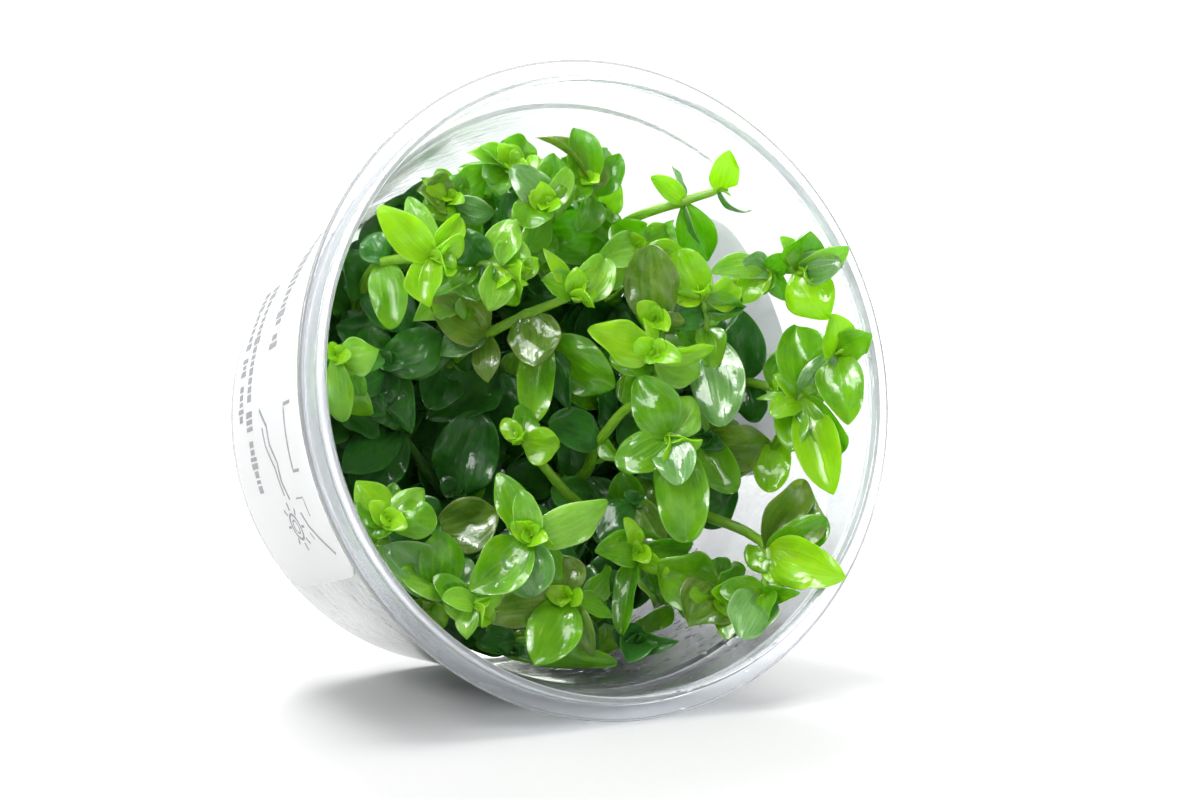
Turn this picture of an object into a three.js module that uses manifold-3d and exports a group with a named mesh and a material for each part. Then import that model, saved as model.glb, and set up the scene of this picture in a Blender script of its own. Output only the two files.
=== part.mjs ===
// A cup of tissue culture lemon bacopa, lying on its side as it is opened: a clear cup,
// two labels, the growing gel and the shoots that stand in it.
// Millimetres, +Z up, the mouth towards -Y, the origin under the middle of the whole.
import * as THREE from "three";
import { mergeVertices } from "three/addons/utils/BufferGeometryUtils.js";
import Module from "manifold-3d";

const wasm = await Module();
wasm.setup();
const { Manifold, Mesh } = wasm;

// Cup, measured from the outside of its base along its own axis
const RIM_RADIUS = 50;
const RIM_BACK = 55.2;
const RIM_FRONT = 56;
const MOUTH_HEIGHT = 58.1;
const MOUTH_RADIUS = 46.4;
const COLLAR_RADIUS = 47.3;
const NECK_RADIUS = 47;
const SHOULDER_HEIGHT = 48;
const SHOULDER_RADIUS = 44.9;
const SHOULDER_STEP = 1.3;
const SHOULDER_RISE = 0.9;
const BASE_RADIUS = 38.6;
const BASE_CORNER = 2;
const WALL = 0.9;
const FLOOR = 1;
const CUP_SIDES = 36;

// Growing gel
const GEL_TOP = 9;
const GAP = 0.3;

// Labels, as turns about the cup's axis from +X and heights above the base
const LABEL_THICKNESS = 0.3;
const LABEL_CORNER = 5;
const LABEL_STEPS = 16;
const LABEL_EASE = 0.7;
const FRONT_LABEL = { from: 108, to: 216, low: 3.5, high: 42.5 };
const BACK_LABEL = { from: -18, to: 42, low: 3.5, high: 38.5 };

// Shoots
const STEM_RADIUS = 0.95;
const STEM_SIDES = 4;
const STEM_STEP = 12;
const ROOT_SPREAD = 0.72;
const LEAF_THICKNESS = 0.9;
const LEAF_ROWS = [0, 0.15, 0.45, 0.8, 1];
const LEAF_BOW = 0.12;
const LEAF_CUP = 0.18;
const BLADE_MARGIN = 1;
const STEM_MARGIN = 2.5;
const CLEARANCE = 0.3;
const DETAILS = [0.15, 0.12, 0.1, 0.07, 0.05, 0.03];
const LEAF_SHARES = [1, 0.88, 0.76, 0.64, 0.52];
const TOUCH = 1e-6;
const WELD = 0.005;

// The photograph's view, by which leaves are placed: pixels of a 1200 x 800 frame
const VIEW_TARGET = new THREE.Vector3(-5.3, -32.8, 48.1);
const VIEW_DISTANCE = 500;
const VIEW_AZIMUTH = THREE.MathUtils.degToRad(28.6);
const VIEW_ELEVATION = THREE.MathUtils.degToRad(6);
const VIEW_FOCAL = 3396;
const VIEW_CENTRE = [600, 400];

const sideScale = 1 / Math.cos(Math.PI / CUP_SIDES);

// The lying cup touches down on the back edge of its rim and on its rounded base corner
function restingTilt() {
  const across = RIM_RADIUS - (BASE_RADIUS - BASE_CORNER);
  const along = RIM_BACK - BASE_CORNER;
  return Math.acos(BASE_CORNER / Math.hypot(across, along)) - Math.atan2(along, across);
}

const tilt = restingTilt();
const lift = RIM_RADIUS * Math.cos(tilt) - RIM_BACK * Math.sin(tilt);
const frontReach = COLLAR_RADIUS * Math.sin(tilt) + MOUTH_HEIGHT * Math.cos(tilt);
const backReach = (BASE_RADIUS - BASE_CORNER) * Math.sin(tilt);
const plant = new THREE.Group();
plant.position.set(0, (frontReach - backReach) / 2, lift);
plant.rotation.x = Math.PI / 2 - tilt;
plant.updateMatrixWorld(true);
const toCup = plant.matrixWorld.clone().invert();

// Camera place and axes, in the cup's own coordinates
const forward = new THREE.Vector3(
  Math.cos(VIEW_ELEVATION) * Math.sin(VIEW_AZIMUTH),
  Math.cos(VIEW_ELEVATION) * Math.cos(VIEW_AZIMUTH),
  -Math.sin(VIEW_ELEVATION));
const rightward = new THREE.Vector3(Math.cos(VIEW_AZIMUTH), -Math.sin(VIEW_AZIMUTH), 0);
const upward = new THREE.Vector3().crossVectors(rightward, forward);
const eye = VIEW_TARGET.clone().addScaledVector(forward, -VIEW_DISTANCE).applyMatrix4(toCup);
for (const axis of [forward, rightward, upward]) {
  axis.transformDirection(toCup);
}

// Inner radius of the wall at a height
function innerRadius(z) {
  const rise = (z - BASE_CORNER) / (SHOULDER_HEIGHT - BASE_CORNER);
  const lower = BASE_RADIUS + (SHOULDER_RADIUS - BASE_RADIUS) * Math.max(0, rise) - WALL;
  return Math.min(lower, MOUTH_RADIUS - 0.6);
}

// A point kept inside the cup: the radius is eased off as it nears the wall
function inside(p, margin = BLADE_MARGIN) {
  const limit = innerRadius(p.z) - margin;
  const soft = 3;
  const r = Math.hypot(p.x, p.y);
  const start = limit - soft;
  if (r > start) {
    const eased = limit - soft * Math.exp(-(r - start) / soft);
    p.x *= eased / r;
    p.y *= eased / r;
  }
  p.z = Math.min(Math.max(p.z, GEL_TOP + 1), MOUTH_HEIGHT - 0.8);
  return p;
}

// The place that the photograph shows at a pixel, at a height above the cup's base
function seen(u, v, z, margin) {
  const ray = forward.clone().multiplyScalar(VIEW_FOCAL)
    .addScaledVector(rightward, u - VIEW_CENTRE[0])
    .addScaledVector(upward, VIEW_CENTRE[1] - v);
  return inside(eye.clone().addScaledVector(ray, (z - eye.z) / ray.z), margin);
}

// Solids
function solidOf(geometry, weld = 1e-5) {
  const bare = geometry.clone();
  bare.deleteAttribute("normal");
  bare.deleteAttribute("uv");
  const merged = mergeVertices(bare, weld);
  let solid = new Manifold(new Mesh({
    numProp: 3,
    vertProperties: new Float32Array(merged.attributes.position.array),
    triVerts: new Uint32Array(merged.index.array),
  }));
  if (solid.volume() < 0) {
    const turned = merged.index.array.slice();
    for (let i = 0; i < turned.length; i += 3) {
      [turned[i], turned[i + 1]] = [turned[i + 1], turned[i]];
    }
    solid = new Manifold(new Mesh({
      numProp: 3,
      vertProperties: new Float32Array(merged.attributes.position.array),
      triVerts: new Uint32Array(turned),
    }));
  }
  return solid;
}

function geometryOf(solid) {
  const mesh = solid.getMesh();
  const geometry = new THREE.BufferGeometry();
  const places = [];
  for (let i = 0; i < mesh.vertProperties.length; i += mesh.numProp) {
    places.push(...mesh.vertProperties.slice(i, i + 3));
  }
  geometry.setAttribute("position", new THREE.Float32BufferAttribute(places, 3));
  geometry.setIndex([...mesh.triVerts]);
  geometry.computeVertexNormals();
  return geometry;
}

function addPart(name, geometry, colour, roughness, extra = {}) {
  const material = new THREE.MeshStandardMaterial({ color: colour, roughness, metalness: 0, ...extra });
  const mesh = new THREE.Mesh(geometry, material);
  mesh.name = name;
  plant.add(mesh);
}

// A body turned about the cup's axis, from points of radius and height, with a flat facet lowest
function turned(points, sides = CUP_SIDES, scale = sideScale) {
  const outline = points.map(([r, z]) => new THREE.Vector2(r * scale, z));
  const geometry = new THREE.LatheGeometry(outline, sides, Math.PI / sides);
  return geometry.rotateX(Math.PI / 2);
}

// Cup: base, tapered wall, stacking shoulder, lip and raised mouth
function cupGeometry() {
  const corner = Math.SQRT1_2 * BASE_CORNER;
  const shoulderTop = SHOULDER_HEIGHT + SHOULDER_RISE;
  const profile = [
    [0, 0],
    [BASE_RADIUS - BASE_CORNER, 0],
    [BASE_RADIUS - BASE_CORNER + corner, BASE_CORNER - corner],
    [BASE_RADIUS, BASE_CORNER],
    [SHOULDER_RADIUS, SHOULDER_HEIGHT],
    [SHOULDER_RADIUS + SHOULDER_STEP, shoulderTop],
    [NECK_RADIUS, RIM_BACK],
    [RIM_RADIUS, RIM_BACK],
    [RIM_RADIUS, RIM_FRONT],
    [COLLAR_RADIUS, RIM_FRONT],
    [COLLAR_RADIUS, MOUTH_HEIGHT],
    [MOUTH_RADIUS, MOUTH_HEIGHT],
    [SHOULDER_RADIUS + SHOULDER_STEP - WALL, shoulderTop + WALL / 2],
    [SHOULDER_RADIUS - WALL, SHOULDER_HEIGHT + WALL / 2],
    [BASE_RADIUS - WALL, BASE_CORNER],
    [BASE_RADIUS - BASE_CORNER, FLOOR],
    [0, FLOOR],
  ];
  return turned(profile);
}

// Gel: a disc of it fills the bottom of the cup
function gelGeometry() {
  const reach = innerRadius(GEL_TOP) - GAP;
  const low = FLOOR + GAP;
  const profile = [
    [0, low],
    [BASE_RADIUS - BASE_CORNER - GAP, low],
    [reach, GEL_TOP],
    [0, GEL_TOP],
  ];
  return turned(profile);
}

// Label: a flat card whose length is wrapped round the wall, with its corners rounded. Its steps
// are shorter towards the ends, where the corners need them.
function labelGeometry({ from, to, low, high }) {
  const middle = (low + high) / 2;
  const half = (high - low) / 2;
  const start = THREE.MathUtils.degToRad(from);
  const sweep = THREE.MathUtils.degToRad(to - from);
  const wallSlope = (SHOULDER_RADIUS - BASE_RADIUS) / (SHOULDER_HEIGHT - BASE_CORNER);
  const radiusAt = (z) => BASE_RADIUS + (z - BASE_CORNER) * wallSlope;
  const length = sweep * radiusAt(middle);
  const card = new THREE.BoxGeometry(1, 2, 1, LABEL_STEPS, 1, 1);
  const place = card.attributes.position;
  for (let i = 0; i < place.count; i++) {
    const step = place.getX(i) + 0.5;
    const along = step - LABEL_EASE * Math.sin(2 * Math.PI * step) / (2 * Math.PI);
    const fromEnd = Math.min(along, 1 - along) * length;
    const inset = Math.max(0, LABEL_CORNER - fromEnd);
    const cut = LABEL_CORNER - Math.sqrt(Math.max(0, LABEL_CORNER ** 2 - inset ** 2));
    const z = middle + place.getY(i) * (half - cut * 0.8);
    const face = place.getZ(i) > 0 ? LABEL_THICKNESS : 0;
    const angle = start + sweep * along;
    const reach = (radiusAt(z) + GAP + face) * sideScale;
    place.setXYZ(i, reach * Math.cos(angle), reach * Math.sin(angle), z);
  }
  return card;
}

// Leaf tones
const DARK = 0x1e5a10;
const GREEN = 0x3f9a12;
const LIME = 0x96d200;
const OLIVE = 0x6e7f20;
const GREY = 0x6e9a6a;
const PALE = 0xa0cf5a;

// A shoot is a stem through its nodes, up from the gel, and each node holds its leaves.
// node: pixel across, pixel down, height above the base, leaves.
// low: a node further in, with a plain pair of leaves. bend: a bare turn of the stem.
// leaf: the tip's pixel and height, the width in millimetres, the roll in degrees away from
// facing the viewer, how far it bows for its length, and its tone.
const leaf = (u, v, z, wide, roll, bow, tone) => ({ tip: seen(u, v, z), wide, roll, bow, tone });
const node = (u, v, z, ...leaves) => ({ place: seen(u, v, z, STEM_MARGIN), leaves });
const low = (u, v, z) => ({ place: seen(u, v, z, STEM_MARGIN), paired: true });
const bend = (u, v, z) => ({ place: seen(u, v, z, STEM_MARGIN), leaves: [] });
const shoot = (name, ...nodes) => ({ name, nodes });

const SHOOTS = [
  shoot("shoot_sprig",
    low(606, 256, 24),
    bend(628, 221, 39),
    node(684, 201, 47,
      leaf(652, 177, 49, 2.9, 5, 0.5, LIME),
      leaf(671, 166, 46, 1.8, 60, 0.5, GREY),
      leaf(699, 244, 46, 2.2, 68, 0.5, GREY)),
    node(719, 190, 51,
      leaf(729, 151, 52, 3.6, 10, 0.3, LIME),
      leaf(751, 212, 50, 2.4, 80, 1.5, GREY))),
  shoot("shoot_upper_right",
    low(688, 300, 26),
    bend(730, 284, 40),
    node(768, 270, 47,
      leaf(712, 272, 48, 3.9, 20, 0.6, PALE),
      leaf(763, 294, 47, 3, 30, 0.5, GREEN),
      leaf(791, 258, 49, 3, 20, 0.5, GREEN),
      leaf(786, 301, 48, 2.8, 20, 0.5, GREEN)),
    node(797, 270, 52,
      leaf(806, 229, 53, 6, 10, 0.8, GREEN),
      leaf(841, 262, 55, 4.6, 10, 0.6, GREY),
      leaf(847, 249, 51, 3.6, 20, 0.5, PALE),
      leaf(824, 319, 53, 6.6, 10, 0.8, GREEN),
      leaf(783, 237, 50, 3, 30, 0.5, PALE))),
  shoot("shoot_right_edge",
    low(742, 490, 24),
    node(778, 446, 40,
      leaf(768, 493, 41, 5.5, 10, 0.5, LIME),
      leaf(808, 430, 42, 3.4, 30, 0.5, LIME)),
    node(799, 398, 48,
      leaf(757, 396, 47, 2.4, 50, 0.8, PALE),
      leaf(774, 374, 47, 3, 20, 1.2, LIME),
      leaf(806, 328, 49, 7, 15, 0.5, OLIVE),
      leaf(832, 355, 51, 4.4, 25, 0.8, GREY),
      leaf(823, 458, 50, 4.4, 20, 1, GREEN),
      leaf(846, 453, 49, 4.6, 15, 0.5, DARK),
      leaf(833, 493, 48, 6, 5, 0.3, LIME)),
    node(840, 354, 53,
      leaf(832, 313, 54, 5, 10, 0.5, LIME),
      leaf(871, 336, 54, 4.2, 10, 0.3, GREEN),
      leaf(846, 424, 52, 6.3, 5, 0.5, GREEN))),
  shoot("shoot_right_stem",
    low(706, 392, 22),
    node(745, 382, 36,
      leaf(756, 422, 37, 5, 15, 0.4, DARK)),
    node(772, 388, 42,
      leaf(790, 350, 43, 4.6, 20, 0.5, GREEN))),
  shoot("shoot_right_low",
    low(688, 512, 26),
    bend(712, 518, 40),
    bend(750, 534, 46),
    node(768, 552, 50,
      leaf(804, 479, 52, 8.2, 10, 0.3, OLIVE),
      leaf(827, 524, 51, 5, 15, 0.5, GREEN),
      leaf(817, 505, 49, 3, 30, 0.5, GREY),
      leaf(844, 578, 52, 6.2, 10, 0.4, LIME),
      leaf(748, 567, 49, 4.5, 25, 0.5, GREEN)),
    node(769, 602, 50,
      leaf(721, 589, 50, 2.8, 30, 0.5, GREEN),
      leaf(742, 638, 51, 6.6, 10, 0.5, GREY),
      leaf(805, 596, 50, 2.8, 20, 0.5, GREEN))),
  shoot("shoot_low_right",
    low(668, 600, 24),
    bend(700, 600, 38),
    node(720, 594, 46,
      leaf(664, 562, 48, 8, 15, -0.8, GREEN),
      leaf(689, 628, 48, 8, 15, 0.5, OLIVE),
      leaf(739, 562, 47, 5, 40, 0.5, GREEN),
      leaf(702, 622, 45, 4, 30, 0.5, GREY),
      leaf(727, 636, 46, 2.4, 20, 0.5, GREEN))),
  shoot("shoot_middle",
    low(578, 478, 22),
    node(600, 440, 38,
      leaf(621, 458, 40, 2.6, 20, 0.5, GREEN),
      leaf(546, 424, 39, 6, 20, 0.5, DARK)),
    bend(634, 406, 46),
    node(668, 436, 52,
      leaf(641, 378, 53, 6.6, 15, 0.5, GREEN),
      leaf(692, 397, 51, 6, 15, 0.5, PALE),
      leaf(686, 541, 54, 7.2, 5, 0.3, GREEN),
      leaf(681, 486, 56, 5.6, 10, 0.5, GREY),
      leaf(618, 465, 51, 5.6, 15, 0.5, GREEN))),
  shoot("shoot_bright",
    low(630, 392, 24),
    bend(646, 372, 40),
    node(654, 356, 52,
      leaf(587, 328, 53, 5.6, 10, 0.6, LIME),
      leaf(714, 345, 53, 3.2, 40, 0.6, LIME),
      leaf(700, 372, 50, 5.4, 10, 0.5, PALE),
      leaf(647, 316, 52, 2.2, 50, 0.8, LIME))),
  shoot("shoot_olive",
    low(640, 340, 24),
    bend(662, 330, 38),
    node(656, 321, 49,
      leaf(649, 245, 53, 7.4, 8, 0.4, OLIVE),
      leaf(684, 327, 50, 3.6, 20, 0.5, OLIVE))),
  shoot("shoot_grey_leaf",
    low(690, 356, 26),
    node(705, 335, 46,
      leaf(722, 424, 52, 7.4, 8, 0.4, GREY)),
    node(703, 298, 50,
      leaf(741, 287, 51, 4.4, 15, 0.6, LIME),
      leaf(744, 312, 50, 4.2, 20, 0.6, GREEN),
      leaf(679, 250, 51, 5.6, 10, 0.6, LIME),
      leaf(662, 286, 49, 4, 20, 0.5, LIME))),
  shoot("shoot_top_pale",
    low(628, 290, 22),
    bend(642, 266, 38),
    node(640, 250, 45,
      leaf(611, 224, 46, 6, 10, 0.5, GREEN),
      leaf(600, 257, 49, 4.8, 15, 0.5, PALE),
      leaf(669, 228, 46, 4.6, 15, 0.5, GREEN),
      leaf(692, 262, 46, 4, 15, 0.5, LIME))),
  shoot("shoot_back_top",
    low(664, 280, 15),
    node(698, 260, 25,
      leaf(698, 222, 27, 4.8, 10, 0.5, DARK),
      leaf(671, 234, 27, 4.2, 20, 0.5, GREEN))),
  shoot("shoot_back_right",
    low(706, 338, 14),
    node(734, 322, 24,
      leaf(752, 376, 26, 5.6, 10, 0.4, DARK),
      leaf(714, 350, 24, 5, 20, 0.4, DARK))),
  shoot("shoot_top_right",
    low(560, 250, 20),
    node(592, 214, 38,
      leaf(620, 184, 41, 4.2, 15, 0.5, LIME),
      leaf(606, 206, 40, 3.6, 25, 0.5, DARK)),
    node(588, 184, 46,
      leaf(577, 129, 48, 5, 10, 0.4, OLIVE),
      leaf(532, 139, 47, 3.2, 60, 1.2, OLIVE),
      leaf(610, 149, 45, 4, 15, 0.5, GREEN),
      leaf(604, 166, 47, 3.2, 20, 0.5, OLIVE))),
  shoot("shoot_top_middle",
    low(524, 262, 20),
    node(542, 234, 38,
      leaf(512, 236, 40, 5.5, 15, 0.8, GREEN),
      leaf(612, 234, 42, 7.4, 10, 0.5, GREEN)),
    node(545, 207, 49,
      leaf(556, 153, 50, 4.8, 10, 0.6, GREEN),
      leaf(511, 167, 50, 4.8, 15, 0.8, GREY),
      leaf(580, 188, 50, 3.6, 35, 0.8, GREEN),
      leaf(541, 181, 52, 3, 20, 1, LIME),
      leaf(513, 224, 51, 5, 20, 0.8, GREEN))),
  shoot("shoot_top_left",
    low(478, 236, 20),
    node(496, 200, 34,
      leaf(470, 190, 36, 5, 20, 0.5, GREEN)),
    node(510, 168, 45,
      leaf(479, 147, 46, 3, 40, 0.6, PALE),
      leaf(464, 153, 45, 2.8, 45, 0.8, PALE),
      leaf(527, 139, 46, 5, 15, 0.6, GREEN),
      leaf(504, 134, 43, 3, 30, 0.5, DARK),
      leaf(500, 196, 47, 4.6, 20, 0.5, GREEN))),
  shoot("shoot_left_top",
    low(436, 250, 18),
    bend(450, 222, 32),
    node(450, 200, 42,
      leaf(417, 189, 43, 4.8, 10, 0.8, OLIVE),
      leaf(488, 166, 44, 4.8, 20, 0.6, GREEN),
      leaf(436, 166, 42, 3, 30, 0.5, GREEN),
      leaf(494, 214, 46, 4, 30, 0.8, GREY))),
  shoot("shoot_left_back",
    low(394, 266, 12),
    node(404, 222, 26,
      leaf(440, 166, 30, 5.4, 15, 0.5, DARK),
      leaf(378, 190, 29, 5.4, 15, 0.5, DARK),
      leaf(364, 250, 27, 6, 15, 0.5, DARK))),
  shoot("shoot_bright_left",
    low(362, 290, 30),
    node(384, 262, 43,
      leaf(393, 330, 45, 5, 12, 0.6, GREEN),
      leaf(366, 232, 42, 4.6, 20, 0.5, DARK)),
    node(432, 258, 51,
      leaf(376, 205, 53, 5, 10, 0.5, LIME),
      leaf(407, 198, 49, 3.6, 20, 0.5, PALE),
      leaf(460, 216, 51, 3.4, 20, 0.6, LIME),
      leaf(429, 307, 52, 4.8, 10, 0.6, LIME))),
  shoot("shoot_left_middle",
    low(448, 318, 22),
    node(462, 288, 38,
      leaf(418, 314, 42, 4.6, 15, 0.5, PALE)),
    node(474, 264, 46,
      leaf(477, 301, 48, 6, 15, 0.5, GREEN),
      leaf(450, 284, 46, 4, 20, 0.6, GREEN)),
    node(506, 268, 50,
      leaf(517, 239, 51, 5, 15, 0.8, PALE),
      leaf(532, 270, 52, 3, 40, 0.8, LIME),
      leaf(489, 290, 50, 3.6, 20, 0.6, LIME),
      leaf(513, 307, 48, 4.4, 20, 0.6, GREEN))),
  shoot("shoot_centre",
    low(446, 366, 22),
    node(488, 334, 38,
      leaf(433, 300, 42, 6.6, 10, 0.5, OLIVE),
      leaf(487, 382, 40, 3.8, 20, 0.8, OLIVE),
      leaf(440, 352, 37, 5, 25, 0.5, GREY)),
    node(530, 313, 44,
      leaf(535, 367, 47, 6.8, 10, 0.4, OLIVE)),
    node(572, 296, 50,
      leaf(545, 248, 51, 2.4, 20, 0.6, LIME),
      leaf(605, 258, 51, 5.4, 25, 1.2, PALE),
      leaf(577, 266, 53, 2.8, 10, 1, LIME),
      leaf(540, 280, 50, 3.8, 20, 0.6, GREEN))),
  shoot("shoot_centre_back",
    low(558, 396, 16),
    node(545, 345, 37,
      leaf(614, 388, 43, 7.4, 10, 0.5, GREEN),
      leaf(534, 428, 43, 5, 10, 0.6, GREEN),
      leaf(569, 410, 40, 4.2, 25, 0.5, DARK))),
  shoot("shoot_strip",
    low(590, 520, 22),
    bend(560, 486, 38),
    node(522, 440, 45,
      leaf(560, 448, 47, 4.8, 15, 0.6, LIME),
      leaf(524, 405, 44, 4, 20, 0.5, GREEN))),
  shoot("shoot_rosette",
    low(540, 566, 22),
    bend(534, 552, 42),
    node(530, 537, 52,
      leaf(609, 502, 55, 5.6, 15, 0.5, PALE),
      leaf(519, 490, 54, 3.8, 10, 0.8, PALE),
      leaf(497, 473, 51, 4.6, 20, 0.8, GREEN),
      leaf(531, 597, 52, 7, 15, 0.6, GREY),
      leaf(470, 592, 50, 6.6, 10, 0.5, GREEN),
      leaf(553, 548, 54, 2.6, 20, 1, LIME))),
  shoot("shoot_low_middle",
    low(586, 628, 22),
    bend(576, 608, 40),
    node(568, 598, 48,
      leaf(534, 665, 52, 6.8, 10, 0.4, GREEN),
      leaf(590, 657, 50, 4, 20, 0.5, OLIVE),
      leaf(482, 612, 48, 7, 15, 0.6, OLIVE),
      leaf(558, 554, 48, 5, 20, 0.6, OLIVE))),
  shoot("shoot_bottom",
    low(496, 640, 22),
    node(512, 660, 38,
      leaf(618, 668, 46, 5.4, 15, 0.4, GREEN),
      leaf(480, 645, 40, 5, 20, 0.4, DARK))),
  shoot("shoot_left_low",
    low(366, 560, 20),
    bend(384, 540, 38),
    node(388, 521, 48,
      leaf(357, 481, 49, 4.8, 10, 0.6, LIME),
      leaf(350, 506, 48, 3.6, 30, 0.6, GREEN),
      leaf(437, 518, 51, 5.4, 10, 0.8, GREEN),
      leaf(425, 490, 50, 3.8, 20, 0.6, PALE),
      leaf(370, 537, 48, 4, 25, 0.6, GREEN))),
  shoot("shoot_left_bottom",
    low(424, 622, 22),
    node(438, 594, 44,
      leaf(437, 529, 48, 5.8, 10, 0.6, GREEN),
      leaf(388, 547, 46, 6.6, 15, 0.5, GREY),
      leaf(472, 560, 46, 4.4, 20, 0.5, GREY),
      leaf(410, 598, 45, 2.8, 30, 0.8, OLIVE)),
    node(474, 604, 49,
      leaf(443, 598, 51, 3.4, 30, 0.8, PALE),
      leaf(460, 647, 50, 2.8, 20, 0.5, PALE))),
  shoot("shoot_olive_low",
    low(452, 560, 16),
    node(434, 528, 36,
      leaf(498, 514, 42, 7, 15, 0.5, OLIVE),
      leaf(400, 500, 36, 5, 20, 0.5, DARK))),
  shoot("shoot_left_edge",
    low(340, 412, 22),
    bend(334, 386, 36),
    node(334, 358, 46,
      leaf(380, 349, 50, 4.8, 15, 0.5, PALE),
      leaf(341, 422, 46, 4.2, 20, 0.5, GREEN),
      leaf(363, 394, 44, 4.2, 20, 0.5, GREEN),
      leaf(354, 378, 46, 2.4, 20, 1.5, LIME))),
  shoot("shoot_left_dark",
    low(380, 384, 14),
    node(386, 346, 28,
      leaf(455, 352, 36, 7.2, 10, 0.5, DARK),
      leaf(338, 326, 30, 6, 15, 0.5, DARK),
      leaf(408, 432, 31, 4.6, 15, 0.5, DARK))),
  shoot("shoot_dark_stem",
    low(446, 497, 14),
    node(400, 432, 24,
      leaf(343, 472, 28, 5.8, 10, 0.5, DARK),
      leaf(384, 372, 24, 4.6, 20, 0.5, DARK))),
  shoot("shoot_kite",
    low(466, 530, 12),
    node(457, 499, 21,
      leaf(480, 412, 27, 8.8, 5, 0.4, DARK))),
  shoot("shoot_dark_centre",
    low(520, 402, 12),
    node(494, 372, 21,
      leaf(428, 416, 24, 8.4, 10, 0.4, DARK),
      leaf(512, 432, 23, 7, 15, 0.4, DARK))),
  shoot("shoot_small_round",
    low(636, 570, 22),
    node(636, 553, 42,
      leaf(595, 552, 46, 5, 10, 0.5, GREEN),
      leaf(624, 516, 46, 2.4, 20, 0.8, LIME),
      leaf(669, 573, 46, 2.8, 15, 0.5, LIME),
      leaf(624, 637, 43, 3.4, 25, 0.8, GREEN),
      leaf(694, 547, 42, 4.2, 20, 0.5, GREEN))),
  shoot("shoot_wall_low",
    low(604, 632, 14),
    node(636, 647, 30,
      leaf(677, 640, 34, 4.4, 10, 0.5, DARK),
      leaf(629, 670, 34, 4.2, 10, 0.5, DARK),
      leaf(612, 632, 33, 3.8, 15, 0.5, DARK))),
  shoot("shoot_low_dark",
    low(584, 580, 14),
    node(604, 598, 25,
      leaf(598, 650, 30, 6.4, 10, 0.5, DARK),
      leaf(560, 585, 28, 6, 15, 0.5, DARK))),
  shoot("shoot_right_dark",
    low(676, 442, 22),
    node(703, 438, 40,
      leaf(767, 446, 43, 7, 15, 0.5, OLIVE),
      leaf(735, 492, 44, 5.6, 15, 0.5, GREEN))),
  shoot("shoot_inner",
    low(620, 520, 16),
    node(636, 502, 34,
      leaf(662, 545, 40, 5.2, 20, 0.5, OLIVE),
      leaf(600, 540, 34, 6, 15, 0.5, DARK))),
];

// Shoots further in, which only show between the others: root, lean, height and turn of the pairs
const INNER_SHOOTS = [
  { name: "shoot_inner_left", x: -22, y: 6, leanX: -4, leanY: 2, top: 36, turn: 20 },
  { name: "shoot_inner_low", x: -8, y: -24, leanX: -3, leanY: -4, top: 34, turn: 60 },
  { name: "shoot_inner_top", x: 3, y: 25, leanX: 1, leanY: 4, top: 34, turn: 100 },
  { name: "shoot_inner_far", x: 16, y: -4, leanX: 4, leanY: -1, top: 26, turn: 35 },
];
const PAIR_STEP = 8;
const PAIR_START = 16;
const PAIR_LENGTH = 9.5;
const PAIR_WIDTH = 6.4;
const PAIR_RISE = 4;
const PAIR_BOW = 0.6;
const UP_THE_CUP = new THREE.Vector3(0, 0, 1);
const GOLDEN_TURN = 137.5;

// A plain pair of leaves, one on either side of the stem
function plainPair(place, turn) {
  const angle = THREE.MathUtils.degToRad(turn);
  return [angle, angle + Math.PI].map((way) => {
    const reach = new THREE.Vector3(Math.cos(way), Math.sin(way), 0);
    const tip = place.clone().addScaledVector(reach, PAIR_LENGTH);
    tip.z += PAIR_RISE;
    return { tip: inside(tip), wide: PAIR_WIDTH, roll: 0, bow: PAIR_BOW, tone: DARK, facing: UP_THE_CUP };
  });
}

function innerShoot({ name, x, y, leanX, leanY, top, turn }) {
  const nodes = [];
  for (let z = PAIR_START, step = 0; z <= top; z += PAIR_STEP, step++) {
    const share = z / top;
    const place = inside(new THREE.Vector3(x + leanX * share, y + leanY * share, z), STEM_MARGIN);
    nodes.push({ place, leaves: plainPair(place, turn + 90 * step) });
  }
  return { name, nodes };
}

SHOOTS.forEach(({ nodes }, index) => {
  for (const each of nodes.filter(({ paired }) => paired)) {
    each.leaves = plainPair(each.place, index * GOLDEN_TURN);
  }
});

const topOf = ({ nodes }) => Math.max(...nodes.map(({ place }) => place.z));
const allShoots = [...SHOOTS, ...INNER_SHOOTS.map(innerShoot)].sort((a, b) => topOf(b) - topOf(a));

// Half width of a leaf along its length, as a share of its greatest
const leafShape = (t) => Math.sin(Math.PI * t ** 0.9) ** 0.65;

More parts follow.
